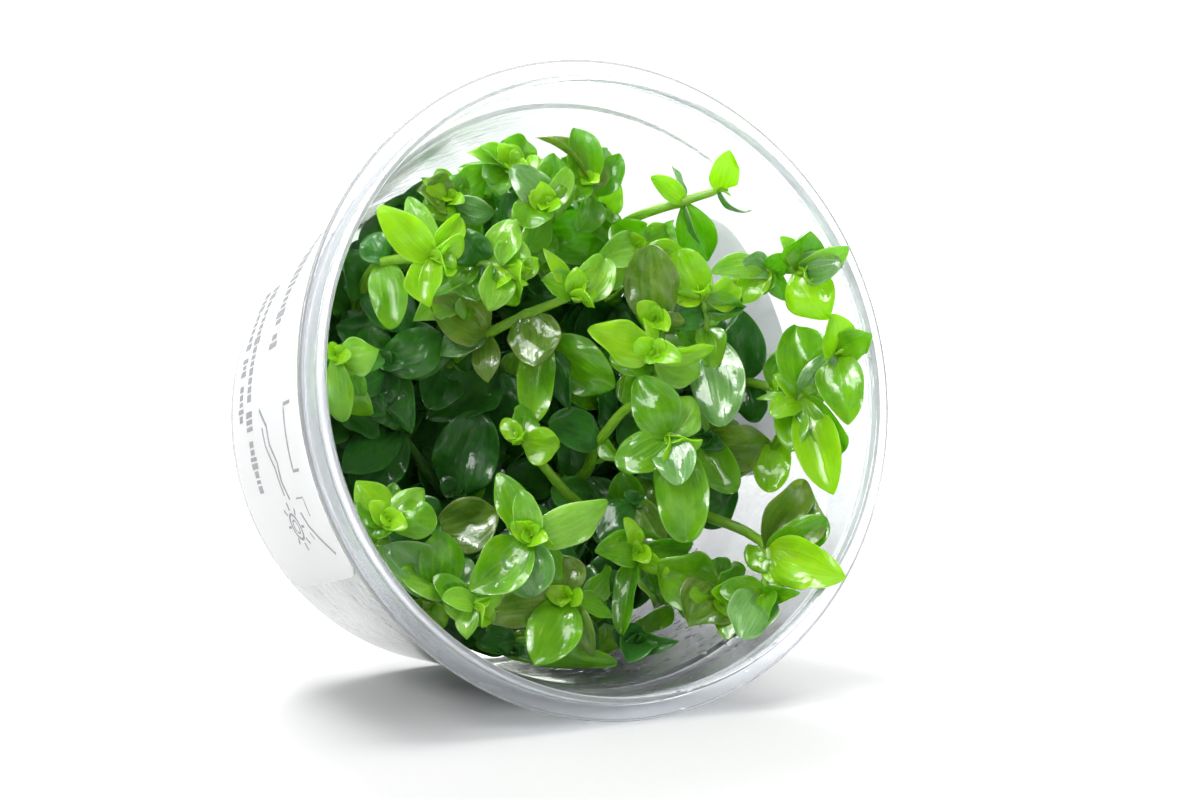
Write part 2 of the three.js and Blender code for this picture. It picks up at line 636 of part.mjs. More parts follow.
// A leaf blade: a flat-topped keel laid along a bowed midrib, its edges cupped up
function leafSolid(place, { tip, wide, roll, bow, facing }, grow = 0) {
  const along = tip.clone().sub(place);
  const length = along.length();
  along.normalize();
  const look = facing ?? forward.clone().negate();
  const face = look.clone().addScaledVector(along, -look.dot(along)).normalize();
  face.applyAxisAngle(along, THREE.MathUtils.degToRad(roll));
  const side = new THREE.Vector3().crossVectors(along, face);
  const blade = new THREE.SphereGeometry(1, 3, LEAF_ROWS.length - 1);
  const spot = blade.attributes.position;
  for (let i = 0; i < spot.count; i++) {
    const t = LEAF_ROWS[Math.floor(i / 4)];
    const corner = (i % 4) % 3;
    const atEnd = t === 0 || t === 1;
    const across = atEnd ? 0 : [1, -1, 0][corner];
    const half = atEnd ? 0 : (wide / 2 + 2 * grow) * leafShape(t);
    const hump = LEAF_BOW * bow * length * 4 * t * (1 - t);
    const p = place.clone()
      .addScaledVector(along, length * t + (2 * t - 1) * 1.5 * grow)
      .addScaledVector(face, hump + Math.abs(across) * (LEAF_CUP * half + grow))
      .addScaledVector(side, across * half);
    inside(p);
    if (corner === 2 && half > 0) {
      p.addScaledVector(face, -(LEAF_THICKNESS + 1.5 * grow) * leafShape(t));
    }
    spot.setXYZ(i, p.x, p.y, p.z);
  }
  return solidOf(blade);
}

// A stem: a thin round bar along a smooth curve, from the gel through the shoot's nodes
function stemSolid({ nodes }, radius) {
  const first = nodes[0].place;
  const root = new THREE.Vector3(first.x * ROOT_SPREAD, first.y * ROOT_SPREAD, GEL_TOP - STEM_RADIUS);
  const route = [root, ...nodes.map((each) => each.place)];
  const curve = new THREE.CatmullRomCurve3(route, false, "centripetal");
  const section = new THREE.Shape();
  for (let i = 0; i <= STEM_SIDES; i++) {
    const angle = 2 * Math.PI * i / STEM_SIDES;
    section[i === 0 ? "moveTo" : "lineTo"](radius * Math.cos(angle), radius * Math.sin(angle));
  }
  const steps = Math.max(3, Math.round(curve.getLength() / STEM_STEP));
  return solidOf(new THREE.ExtrudeGeometry(section, { extrudePath: curve, steps, bevelEnabled: false }));
}

// A leaf as large as fits clear of the other shoots. One with no room at all is left out.
function fittedBlade(place, each, blocked) {
  for (const share of LEAF_SHARES) {
    const tip = place.clone().lerp(each.tip, share);
    const smaller = { ...each, tip, wide: each.wide * share };
    const blade = leafSolid(place, smaller);
    if (blade.intersect(blocked).volume() < TOUCH) {
      return { blade, room: leafSolid(place, smaller, CLEARANCE) };
    }
  }
  return null;
}

// Each shoot in one piece, its stem and leaves joined and trimmed level with the gel
const stems = allShoots.map((each) => stemSolid(each, STEM_RADIUS));
const wideStems = allShoots.map((each) => stemSolid(each, STEM_RADIUS + CLEARANCE));

function shootSolid(index, taken) {
  const otherStems = wideStems.filter((_, i) => i !== index);
  const blocked = Manifold.union([...otherStems, ...taken]);
  const fitted = allShoots[index].nodes
    .flatMap(({ place, leaves }) => leaves.map((each) => fittedBlade(place, each, blocked)))
    .filter((each) => each !== null);
  taken.push(...fitted.map(({ room }) => room));
  const blades = fitted.map(({ blade }) => blade);
  const whole = Manifold.union([stems[index], ...blades]).trimByPlane([0, 0, 1], GEL_TOP + GAP);
  return DETAILS.map((detail) => thinned(whole, detail)).find(hasCleanEdges);
}

// The whole without details smaller than a size, and without any crumb that this sets free
function thinned(whole, detail) {
  const rough = largest(whole.simplify(detail));
  return largest(solidOf(geometryOf(rough), WELD).simplify(detail));
}

// Every edge borders just two faces, also where two corners lie in one place
function hasCleanEdges(solid) {
  const { index } = mergeVertices(geometryOf(solid).deleteAttribute("normal"), WELD);
  const borders = new Map();
  for (let i = 0; i < index.count; i += 3) {
    for (let side = 0; side < 3; side++) {
      const ends = [index.getX(i + side), index.getX(i + (side + 1) % 3)];
      const key = ends.sort((a, b) => a - b).join(" ");
      borders.set(key, (borders.get(key) ?? 0) + 1);
    }
  }
  return [...borders.values()].every((count) => count === 2);
}

const largest = (solid) => solid.decompose().sort((a, b) => b.volume() - a.volume())[0];

// The colour of a shoot: the tone of the first leaf at its top
const toneOf = ({ nodes }) => nodes.at(-1).leaves[0].tone;

addPart("cup", cupGeometry(), 0xf2f6f8, 0.15, { transparent: true, opacity: 0.3 });
addPart("front_label", labelGeometry(FRONT_LABEL), 0xf6f6f4, 0.5);
addPart("back_label", labelGeometry(BACK_LABEL), 0xf6f6f4, 0.5);
addPart("gel", gelGeometry(), 0xe8ecdc, 0.3);

const taken = [];
allShoots.forEach((each, index) => {
  addPart(each.name, geometryOf(shootSolid(index, taken)), toneOf(each), 0.35);
});

export default plant;
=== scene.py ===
"""A cup of tissue culture lemon bacopa, lying on its side as it is opened.

Pieces: a clear moulded cup, two labels with their printed marks, the growing gel, and the shoots
that stand in it. All are worked out in the cup's own coordinates in millimetres, x to the right
and z from the base to the mouth, and are then laid down and turned into metres.
"""

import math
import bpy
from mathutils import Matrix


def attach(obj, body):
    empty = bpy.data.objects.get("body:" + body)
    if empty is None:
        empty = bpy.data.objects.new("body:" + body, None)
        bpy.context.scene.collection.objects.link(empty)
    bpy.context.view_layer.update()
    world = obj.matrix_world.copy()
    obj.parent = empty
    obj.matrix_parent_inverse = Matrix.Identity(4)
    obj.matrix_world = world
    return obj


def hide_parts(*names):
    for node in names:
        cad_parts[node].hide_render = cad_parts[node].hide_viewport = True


bl_info = {
    "name": "Lemon bacopa cup",
    "version": (1, 0, 0),
    "blender": (4, 5, 0),
    "location": "View3D > Sidebar > Bacopa",
    "description": "A lying culture cup with its labels, gel and leafy shoots",
    "category": "Add Mesh",
}

import bpy
import numpy as np
from mathutils import Matrix, Vector

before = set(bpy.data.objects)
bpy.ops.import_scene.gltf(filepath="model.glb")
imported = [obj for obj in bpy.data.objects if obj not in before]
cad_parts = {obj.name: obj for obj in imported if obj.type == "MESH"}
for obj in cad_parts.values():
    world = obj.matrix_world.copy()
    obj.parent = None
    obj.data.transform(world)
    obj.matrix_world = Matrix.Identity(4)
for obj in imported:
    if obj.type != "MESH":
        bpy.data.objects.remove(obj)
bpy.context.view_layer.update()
PER_METRE = 1000

# Cup, measured from the outside of its base along its own axis, in millimetres
RIM_RADIUS = 50
RIM_BACK = 55.2
RIM_FRONT = 56
RIM_EDGE = 0.45
MOUTH_HEIGHT = 58.1
MOUTH_RADIUS = 46.4
MOUTH_INSET = 0.6
COLLAR_RADIUS = 47.3
NECK_RADIUS = 47
SHOULDER_HEIGHT = 48
SHOULDER_RADIUS = 44.9
SHOULDER_STEP = 1.3
SHOULDER_RISE = 0.9
BASE_RADIUS = 38.6
BASE_CORNER = 2
BASE_RING = 24
BASE_RISE = 0.5
WALL = 0.9
PLASTIC_IOR = 1.49

# Growing gel
GEL_TOP = 9
GEL_FOOT = 36
GEL_UNDER = 1.6
GEL_STEPS = 120
GEL_IOR = 1.34

# Labels: turns about the cup's axis in degrees and heights above the base
LABEL_CORNER = 5
LABEL_GAP = 0.15
LABEL_SLANT = 0.13
BAR_STEP = 1.2
BAR_THICK = 0.03
BAR_GAP = 0.01
FRONT_LABEL = (108, 216, 3.5, 42.5)
BACK_LABEL = (-18, 42, 3.5, 38.5)

# Shoots: lengths in millimetres, turns in degrees, a leaf's relief in shares of its width
FIRST_SEED = 1000
STEM_RADIUS = 0.95
STEM_STEPS = 12
STEM_RING = 12
ROOT_SPREAD = 0.72
ROOT_DEPTH = 2.5
LEAF_BOW = 0.12
LEAF_CUP = 0.18
GROOVE = 0.035
RIB = 0.012
SWELL = 0.1
FINE_SWELL = 0.035
CALM_SHARE = 0.35
GOLDEN_TURN = 137.5
HIDDEN_TURN = 47
FIRST_PAIR = 3.6
LAST_PAIR = 2.5
# Shoots whose tops stay below this height get a darker stem and dark buds: painted shade of the
# cup's depths
BRIGHT_HEIGHT = 41
OPEN_SIDE = 14
INNER_START = 16
INNER_STEP = 8
BUD_DEPTH = 0.3

# How leaves and stems are kept in the cup
BLADE_MARGIN = 1
STEM_MARGIN = 2.5
FREE_HEIGHT = 62
EASING_HEIGHT = 44
EASING_REACH = 8
SOFT_LOW = 3
SOFT_LOSS = 2.2
UP_THE_CUP = np.array([0, 0, 1.0])

# The photograph's view, by which leaves are placed: pixels of a 1200 x 800 frame
VIEW_TARGET = np.array([-5.3, -32.8, 48.1])
VIEW_DISTANCE = 500
VIEW_AZIMUTH = math.radians(28.6)
VIEW_ELEVATION = math.radians(6)
VIEW_FOCAL = 3396
VIEW_CENTRE = (600, 400)
FRAME_WIDTH = 1200
SENSOR_WIDTH = 36
EXPOSURE = 0.3

# Stage, in metres, and how bright the room is where it is seen
FLOOR_REACH = 6
CUP_MIDDLE = Vector((0, 0, 0.045))
SEEN_WHITE = 1.7

# The lying cup touches down on the back edge of its rim and on its rounded base corner
ACROSS = RIM_RADIUS - (BASE_RADIUS - BASE_CORNER)
ALONG = RIM_BACK - BASE_CORNER
TILT = math.acos(BASE_CORNER / math.hypot(ACROSS, ALONG)) - math.atan2(ALONG, ACROSS)
LIFT = RIM_RADIUS * math.cos(TILT) - RIM_BACK * math.sin(TILT)
FRONT_REACH = COLLAR_RADIUS * math.sin(TILT) + MOUTH_HEIGHT * math.cos(TILT)
BACK_REACH = (BASE_RADIUS - BASE_CORNER) * math.sin(TILT)
LYING = np.array(Matrix.Rotation(math.pi / 2 - TILT, 3, "X"))
PLACE = np.array([0, (FRONT_REACH - BACK_REACH) / 2, LIFT])

FORWARD = np.array([
    math.cos(VIEW_ELEVATION) * math.sin(VIEW_AZIMUTH),
    math.cos(VIEW_ELEVATION) * math.cos(VIEW_AZIMUTH),
    -math.sin(VIEW_ELEVATION)])
RIGHTWARD = np.array([math.cos(VIEW_AZIMUTH), -math.sin(VIEW_AZIMUTH), 0])
UPWARD = np.cross(RIGHTWARD, FORWARD)
EYE = VIEW_TARGET - VIEW_DISTANCE * FORWARD

# The same in the cup's own coordinates
CUP_FORWARD = FORWARD @ LYING
CUP_RIGHTWARD = RIGHTWARD @ LYING
CUP_UPWARD = UPWARD @ LYING
CUP_EYE = (EYE - PLACE) @ LYING


def laid_down(points):
    """Cup coordinates in millimetres to the row's in metres: turned about X, then moved."""
    return (np.asarray(points) @ LYING.T + PLACE) / PER_METRE


def unit(vectors):
    """Vectors divided by their own lengths."""
    vectors = np.asarray(vectors, float)
    return vectors / np.maximum(np.linalg.norm(vectors, axis=-1, keepdims=True), 1e-9)


def inner_radius(z):
    """The wall's inside at a height: a straight taper up to the shoulder, then the mouth's."""
    rise = (z - BASE_CORNER) / (SHOULDER_HEIGHT - BASE_CORNER)
    lower = BASE_RADIUS + (SHOULDER_RADIUS - BASE_RADIUS) * np.maximum(0, rise) - WALL
    return np.minimum(lower, MOUTH_RADIUS - MOUTH_INSET)


def inside(points, margin=BLADE_MARGIN):
    """Points kept in the cup: past a radius the rest is eased off as 1 - exp(-x), sooner low
    down than near the mouth, and heights are held between the gel and a little past the mouth."""
    points = np.array(points, float)
    points[..., 2] = z = np.clip(points[..., 2], GEL_TOP + 1, FREE_HEIGHT)
    near_mouth = np.clip((z - EASING_HEIGHT) / EASING_REACH, 0, 1)
    soft = SOFT_LOW - SOFT_LOSS * near_mouth
    past = np.maximum(z - MOUTH_HEIGHT, 0)
    limit = inner_radius(z) - margin * (1 - 0.5 * near_mouth) + 2 * past
    r = np.hypot(points[..., 0], points[..., 1])
    start = limit - soft
    eased = limit - soft * np.exp(-np.maximum(r - start, 0) / soft)
    share = np.where(r > start, eased / np.maximum(r, 1e-9), 1)
    points[..., :2] *= share[..., None]
    return points


def seen(u, v, z, margin=BLADE_MARGIN):
    """The place that the photograph shows at a pixel, at a height above the cup's base."""
    ray = VIEW_FOCAL * CUP_FORWARD
    ray = ray + (u - VIEW_CENTRE[0]) * CUP_RIGHTWARD + (VIEW_CENTRE[1] - v) * CUP_UPWARD
    return inside(CUP_EYE + ray * (z - CUP_EYE[2]) / ray[2], margin)


# Leaf tones
# The grey tone's greyer, bluer green is painted sheen for leaves that show a reflection, and partly
# their paler undersides
TONES = DARK, GREEN, LIME, OLIVE, GREY_SHEEN, PALE = "dark", "green", "lime", "olive", "grey", "pale"


def leaf_of(tone):
    """A function for leaves of one tone, each given by its tip's pixel and height, its width in
    millimetres, its roll in degrees away from facing the viewer, and its bow for its length."""
    def leaf(u, v, z, wide, roll=20, bow=0.5):
        return {"tip": seen(u, v, z), "wide": wide, "roll": roll, "bow": bow, "tone": tone}
    return leaf


def node(u, v, z, *leaves):
    """A place on the stem that holds leaves."""
    return {"place": seen(u, v, z, STEM_MARGIN), "leaves": list(leaves)}


def low(*place_and_leaves):
    """A node further in, with a plain pair of leaves beside any that are given."""
    return {**node(*place_and_leaves), "paired": True}


def bend(*place):
    """A bare turn of the stem."""
    return {**node(*place), "bare": True}


def shoot(name, *nodes):
    """A stem up from the gel through its nodes."""
    return {"name": name, "nodes": nodes}


dark, green, lime, olive, grey, pale = map(leaf_of, TONES)

SHOOTS = [
    shoot("shoot_sprig", low(606, 256, 24), bend(628, 221, 39),
        node(684, 201, 47, lime(652, 177, 49, 2.9, 5), grey(671, 166, 46, 1.8, 60),
            grey(699, 244, 46, 2.2, 68), green(708, 262, 42, 5, 10)),
        node(719, 190, 51, lime(729, 151, 57, 3.9, 10, 0.3), grey(751, 212, 50, 2.4, 80, 1.5))),
    shoot("shoot_upper_right", low(688, 300, 26), bend(730, 284, 40),
        node(768, 270, 47, pale(712, 272, 48, 3.9, bow=0.6), green(763, 294, 47, 3.6, 30),
            grey(742, 262, 48, 3.8), lime(740, 300, 47, 4.2), green(791, 256, 54, 3.4),
            green(786, 301, 48, 2.8)),
        node(797, 270, 52, green(812, 229, 57, 6, 10, 0.8), grey(841, 264, 60, 4.6, 10, 0.6),
            pale(847, 249, 61, 3.8), lime(826, 319, 55, 6.8, 10, 0.8), pale(783, 237, 54, 3, 30))),
    shoot("shoot_right_edge", low(742, 490, 24),
        node(778, 446, 40, lime(768, 493, 41, 5.5, 10), lime(808, 430, 46, 4, 30)),
        node(799, 398, 48, pale(757, 396, 47, 2.4, 50, 0.8), lime(774, 374, 47, 3, bow=1.2),
            green(800, 326, 50, 7.4, 15), grey(834, 355, 54, 4.6, 25, 0.8),
            green(823, 458, 50, 4.4, bow=1), lime(772, 416, 50, 4, bow=0.6),
            green(790, 452, 49, 4.6, 15), green(826, 388, 52, 4.6, 15),
            green(846, 453, 54, 4.6, 15), lime(833, 493, 54, 6, 5, 0.3)),
        node(840, 354, 53, lime(830, 313, 57, 5.2, 10), green(871, 334, 61, 4.4, 10, 0.3),
            green(848, 424, 56, 6.3, 5))),
    shoot("shoot_right_stem", low(706, 392, 22),
        node(745, 382, 36, dark(756, 422, 37, 5, 15, 0.4), dark(741, 310, 40, 6, 8, 0.4),
            green(716, 366, 38, 4.6)),
        node(772, 388, 42, green(790, 350, 43, 4.6))),
    shoot("shoot_right_low", low(688, 512, 26), bend(712, 518, 40), bend(750, 534, 46),
        node(768, 552, 50, olive(804, 479, 52, 8.2, 10, 0.3), green(828, 520, 56, 5.4, 15),
            grey(820, 503, 53, 3.4, 30), lime(844, 578, 62, 6.6, 10, 0.4),
            green(748, 567, 49, 4.5, 25), lime(790, 590, 53, 4.2)),
        node(769, 602, 50, green(721, 589, 50, 4.4), green(774, 634, 56, 4.4),
            grey(742, 638, 57, 6.8, 10), green(805, 596, 57, 3.4))),
    shoot("shoot_low_right", low(668, 600, 24), bend(700, 600, 38),
        node(720, 594, 46, green(664, 562, 48, 8, 15, -0.8), olive(689, 628, 48, 8, 15),
            green(739, 562, 47, 5, 40), grey(702, 622, 45, 4, 30), green(727, 636, 52, 3.2))),
    shoot("shoot_middle", low(578, 478, 22),
        node(600, 440, 38, green(621, 458, 40, 2.6), dark(546, 424, 39, 6)),
        bend(634, 406, 46),
        node(668, 436, 52, green(641, 378, 53, 6.6, 15), pale(692, 397, 51, 6, 15),
            green(686, 541, 54, 7.2, 5, 0.3), grey(681, 486, 56, 5.6, 10),
            green(618, 465, 51, 5.6, 15))),
    shoot("shoot_bright", low(630, 392, 24), bend(646, 372, 40),
        node(654, 356, 52, lime(587, 328, 53, 5.6, 10, 0.6), lime(714, 345, 53, 3.2, 40, 0.6),
            pale(700, 372, 50, 5.4, 10), lime(647, 316, 52, 2.2, 50, 0.8))),
    shoot("shoot_olive", low(640, 340, 24), bend(662, 330, 38),
        node(656, 321, 49, olive(649, 245, 53, 7.4, 8, 0.4), olive(684, 327, 50, 3.6))),
    shoot("shoot_grey_leaf", low(690, 356, 26),
        node(705, 335, 46, grey(722, 424, 52, 7.4, 8, 0.4)),
        node(703, 298, 50, lime(741, 287, 51, 4.4, 15, 0.6), green(744, 312, 50, 4.2, bow=0.6),
            lime(679, 250, 51, 5.6, 10, 0.6), lime(662, 286, 49, 4))),
    shoot("shoot_top_pale", low(628, 290, 22), bend(642, 266, 38),
        node(640, 250, 45, green(611, 224, 46, 6, 10), pale(600, 257, 49, 4.8, 15),
            green(669, 228, 46, 4.6, 15), lime(692, 262, 46, 4, 15))),
    shoot("shoot_back_top", low(664, 280, 15),
        node(698, 260, 25, dark(698, 222, 27, 4.8, 10), green(671, 234, 27, 4.2))),
    shoot("shoot_back_right", low(706, 338, 14),
        node(734, 322, 24, dark(752, 376, 26, 5.6, 10, 0.4), dark(714, 350, 24, 5, bow=0.4))),
    shoot("shoot_top_right",
        low(560, 250, 20, dark(592, 196, 24, 7, 10, 0.4)),
        node(592, 214, 38, lime(620, 184, 41, 4.2, 15), dark(606, 206, 40, 3.6, 25)),
        node(588, 184, 46, green(577, 129, 48, 5, 10, 0.4), olive(532, 139, 47, 3.2, 60, 1.2),
            green(610, 149, 45, 4, 15), olive(604, 166, 47, 3.2), lime(594, 138, 46, 3.4, 25),
            green(560, 158, 47, 3.6), green(562, 196, 48, 4))),
    shoot("shoot_top_middle", low(524, 262, 20),
        node(542, 234, 38, green(512, 236, 40, 5.5, 15, 0.8), green(612, 234, 42, 7.4, 10)),
        node(545, 207, 49, green(556, 153, 50, 4.8, 10, 0.6), grey(511, 167, 50, 4.8, 15, 0.8),
            green(580, 188, 50, 3.6, 35, 0.8), lime(530, 155, 49, 3.6, 15),
            pale(568, 168, 51, 3.4, bow=0.6), lime(541, 181, 52, 3, bow=1),
            green(513, 224, 51, 5, bow=0.8))),
    shoot("shoot_top_left", low(478, 236, 20),
        node(496, 200, 34, green(470, 190, 36, 5)),
        node(510, 168, 45, pale(479, 147, 46, 3, 40, 0.6), pale(464, 153, 45, 2.8, 45, 0.8),
            green(527, 139, 46, 5, 15, 0.6), lime(512, 144, 47, 3.2), green(484, 178, 46, 4),
            dark(504, 134, 43, 3, 30), green(500, 196, 47, 4.6))),
    shoot("shoot_left_top", low(436, 250, 18), bend(450, 222, 32),
        node(450, 200, 42, olive(417, 189, 43, 4.8, 10, 0.8), green(488, 166, 44, 4.8, bow=0.6),
            green(436, 166, 42, 3, 30), lime(426, 180, 44, 3.8), green(462, 174, 44, 3.6),
            green(424, 216, 44, 4.4), grey(494, 214, 46, 4, 30, 0.8))),
    shoot("shoot_left_back", low(394, 266, 12),
        node(404, 222, 26, dark(440, 166, 30, 5.4, 15), dark(378, 190, 29, 5.4, 15),
            dark(364, 250, 27, 6, 15))),
    shoot("shoot_bright_left", low(362, 290, 30),
        node(384, 262, 43, green(393, 330, 45, 5, 12, 0.6), dark(366, 232, 42, 4.6)),
        node(432, 258, 51, lime(376, 205, 53, 5, 10), pale(407, 198, 49, 3.6),
            lime(460, 216, 51, 3.4, bow=0.6), lime(429, 307, 52, 4.8, 10, 0.6))),
    shoot("shoot_left_middle", low(448, 318, 22),
        node(462, 288, 38, pale(418, 314, 42, 4.6, 15)),
        node(474, 264, 46, green(477, 301, 48, 6, 15), green(450, 284, 46, 4, bow=0.6)),
        node(506, 268, 50, pale(517, 239, 51, 5, 15, 0.8), lime(532, 270, 52, 3, 40, 0.8),
            lime(489, 290, 50, 3.6, bow=0.6), green(513, 307, 48, 4.4, bow=0.6))),
    shoot("shoot_centre", low(446, 366, 22),
        node(488, 334, 38, olive(433, 300, 42, 6.6, 10), olive(487, 382, 40, 3.8, bow=0.8),
            grey(440, 352, 37, 5, 25)),
        node(530, 313, 44, olive(535, 367, 47, 6.8, 10, 0.4)),
        node(572, 296, 50, lime(545, 248, 51, 2.4, bow=0.6), pale(605, 258, 51, 5.4, 25, 1.2),
            lime(577, 266, 53, 2.8, 10, 1), green(540, 280, 50, 3.8, bow=0.6))),
    shoot("shoot_centre_back", low(558, 396, 16),
        node(545, 345, 37, green(614, 388, 43, 7.4, 10), green(534, 428, 43, 5, 10, 0.6),
            dark(569, 410, 40, 4.2, 25))),
    shoot("shoot_strip", low(590, 520, 22), bend(560, 486, 38),
        node(522, 440, 45, lime(560, 448, 47, 4.8, 15, 0.6), green(524, 405, 44, 4))),
    shoot("shoot_rosette", low(540, 566, 22), bend(534, 552, 42),
        node(530, 537, 52, pale(609, 502, 55, 5.6, 15), pale(519, 490, 54, 3.8, 10, 0.8),
            green(497, 473, 51, 4.6, bow=0.8), grey(531, 597, 52, 7, 15, 0.6),
            green(470, 592, 50, 6.6, 10), lime(553, 548, 54, 2.6, bow=1))),
    shoot("shoot_low_middle", low(586, 628, 22), bend(576, 608, 40),
        node(568, 598, 48, green(534, 665, 52, 6.8, 10, 0.4), olive(590, 657, 50, 4),
            olive(482, 612, 48, 7, 15, 0.6), olive(558, 554, 48, 5, bow=0.6))),
    shoot("shoot_bottom", low(496, 640, 22),
        node(512, 660, 38, green(618, 668, 46, 5.4, 15, 0.4), dark(480, 645, 40, 5, bow=0.4))),
    shoot("shoot_left_low", low(366, 560, 20), bend(384, 540, 38),
        node(388, 521, 48, lime(357, 481, 49, 4.8, 10, 0.6), green(350, 506, 48, 3.6, 30, 0.6),
            green(437, 518, 51, 5.4, 10, 0.8), pale(425, 490, 50, 3.8, bow=0.6),
            green(370, 537, 48, 4, 25, 0.6))),
    shoot("shoot_left_bottom", low(424, 622, 22),
        node(438, 594, 44, green(437, 529, 48, 5.8, 10, 0.6), grey(388, 547, 46, 6.6, 15),
            grey(472, 560, 46, 4.4), olive(410, 598, 45, 2.8, 30, 0.8)),
        node(474, 604, 49, pale(443, 598, 51, 3.4, 30, 0.8), pale(460, 647, 50, 2.8))),
    shoot("shoot_olive_low", low(452, 560, 16),
        node(434, 528, 36, olive(498, 514, 42, 7, 15), dark(400, 500, 36, 5))),
    shoot("shoot_left_edge", low(340, 412, 22), bend(334, 386, 36),
        node(334, 358, 46, pale(380, 349, 50, 4.8, 15), green(341, 422, 46, 4.2),
            green(363, 394, 44, 4.2), lime(354, 378, 46, 2.4, bow=1.5))),
    shoot("shoot_left_dark", low(380, 384, 14),
        node(386, 346, 28, dark(455, 352, 36, 7.2, 10), dark(338, 326, 30, 6, 15),
            dark(408, 432, 31, 4.6, 15))),
    shoot("shoot_dark_stem", low(446, 497, 14),
        node(400, 432, 24, dark(343, 472, 28, 5.8, 10), dark(360, 496, 22, 7.5, 10, 0.4),
            dark(384, 372, 24, 4.6))),
    shoot("shoot_kite",
        low(466, 530, 12, dark(514, 432, 17, 10, 10, 0.4)),
        node(457, 499, 21, dark(480, 412, 27, 8.8, 5, 0.4))),
    shoot("shoot_dark_centre",
        low(520, 402, 12, dark(494, 466, 15, 9, 10, 0.4), dark(540, 462, 15, 8, 10, 0.4)),
        node(494, 372, 21, dark(428, 416, 24, 8.4, 10, 0.4), dark(512, 432, 23, 7, 15, 0.4))),
    shoot("shoot_small_round",
        low(636, 570, 22, dark(664, 612, 20, 8, 10, 0.4), dark(630, 612, 20, 7, 10, 0.4)),
        node(636, 553, 42, green(595, 552, 46, 5, 10), lime(624, 516, 46, 2.4, bow=0.8),
            lime(669, 573, 46, 2.8, 15), green(624, 637, 43, 3.4, 25, 0.8),
            green(694, 547, 42, 4.2))),
    shoot("shoot_wall_low", low(604, 632, 14),
        node(640, 650, 40, dark(677, 644, 46, 4.4, 10), dark(629, 668, 46, 4.4, 10),
            dark(614, 632, 42, 4, 15))),
    shoot("shoot_low_dark", low(584, 580, 14),
        node(604, 598, 25, dark(598, 650, 30, 6.4, 10), dark(560, 585, 28, 6, 15))),
    shoot("shoot_right_dark", low(676, 442, 22),
        node(703, 438, 40, olive(767, 446, 43, 7, 15), green(735, 492, 44, 5.6, 15))),
    shoot("shoot_inner", low(620, 520, 16),
        node(636, 502, 34, olive(662, 545, 40, 5.2), dark(600, 540, 34, 6, 15))),
]

# Shoots whose upper stem shows bare, and the one whose leaves lie flat
BARE_STEMS = ("shoot_sprig", "shoot_upper_right", "shoot_right_edge", "shoot_right_low",
              "shoot_right_stem", "shoot_strip", "shoot_dark_stem", "shoot_bright_left",
              "shoot_middle", "shoot_centre")
CALM_SHOOT = "shoot_sprig"


def plain_pair(place, turn, length=9.5, wide=6.4, rise=4, tone=DARK):
    """Two leaves on opposite sides of the stem, their faces up the cup."""
    pair = []
    for way in (math.radians(turn), math.radians(turn) + math.pi):
        reach = np.array([math.cos(way), math.sin(way), 0])
        tip = inside(place + length * reach + rise * UP_THE_CUP)
        pair.append({"tip": tip, "wide": wide, "roll": 0, "bow": 0.6, "tone": tone,
                     "facing": UP_THE_CUP})
    return pair


def inner_shoot(name, x, y, lean_x, lean_y, top, turn):
    """A nearly straight stem with a pair of leaves at each node, every pair square to the last."""
    nodes = []
    for step, z in enumerate(range(INNER_START, top + 1, INNER_STEP)):
        share = z / top
        place = inside([x + lean_x * share, y + lean_y * share, z], STEM_MARGIN)
        nodes.append({"place": place, "leaves": plain_pair(place, turn + 90 * step)})
    return shoot(name, *nodes)


# Shoots further in, which only show between the others
SHOOTS += [
    inner_shoot("shoot_inner_left", x=-22, y=6, lean_x=-4, lean_y=2, top=36, turn=20),
    inner_shoot("shoot_inner_low", x=-8, y=-24, lean_x=-3, lean_y=-4, top=34, turn=60),
    inner_shoot("shoot_inner_top", x=3, y=25, lean_x=1, lean_y=4, top=34, turn=100),
    inner_shoot("shoot_inner_far", x=16, y=-4, lean_x=4, lean_y=-1, top=26, turn=35),
]


def smooth_route(places, count):
    """Points along a centripetal Catmull-Rom curve: between two places, blends of the straight
    lines through their neighbours, with knots spaced by the square root of the distance."""
    ends = [2 * places[0] - places[1], *places, 2 * places[-1] - places[-2]]
    spans = len(places) - 1
    out = []
    for i in range(spans):
        level = ends[i:i + 4]
        gaps = [np.linalg.norm(b - a) ** 0.5 + 1e-6 for a, b in zip(level, level[1:])]
        knots = np.cumsum([0] + gaps)
        steps = np.linspace(knots[1], knots[2], count, endpoint=i == spans - 1)[:, None]
        for starts, stops in (((0, 1, 2), (1, 2, 3)), ((0, 1), (2, 3)), ((1,), (2,))):
            level = [((knots[q] - steps) * a + (steps - knots[p]) * b) / (knots[q] - knots[p])
                     for a, b, p, q in zip(level, level[1:], starts, stops)]
        out.append(level[0])
    return np.concatenate(out)


def run_along(route):
    """The distance along a route at each of its points."""
    return np.concatenate([[0], np.cumsum(np.linalg.norm(np.diff(route, axis=0), axis=1))])


def place_at(at, run, route):
    """The place on a route at a distance along it."""
    return np.array([np.interp(at, run, route[:, k]) for k in range(3)])


def closed_grid(rows, ring, start=0):
    """Faces of a tube of rings with a pole at either end: first pole, rings, last pole."""
    i, j = np.meshgrid(np.arange(rows - 1), np.arange(ring), indexing="ij")
    near = start + 1 + i * ring + j
    near_next = start + 1 + i * ring + (j + 1) % ring
    quads = np.stack([near, near_next, near_next + ring, near + ring], -1).reshape(-1, 4)
    k = np.arange(ring)
    first = np.stack([np.full(ring, start), start + 1 + (k + 1) % ring, start + 1 + k], -1)
    last_row = start + 1 + (rows - 1) * ring
    last = np.stack([np.full(ring, last_row + ring), last_row + k, last_row + (k + 1) % ring], -1)
    return quads.tolist() + first.tolist() + last.tolist()


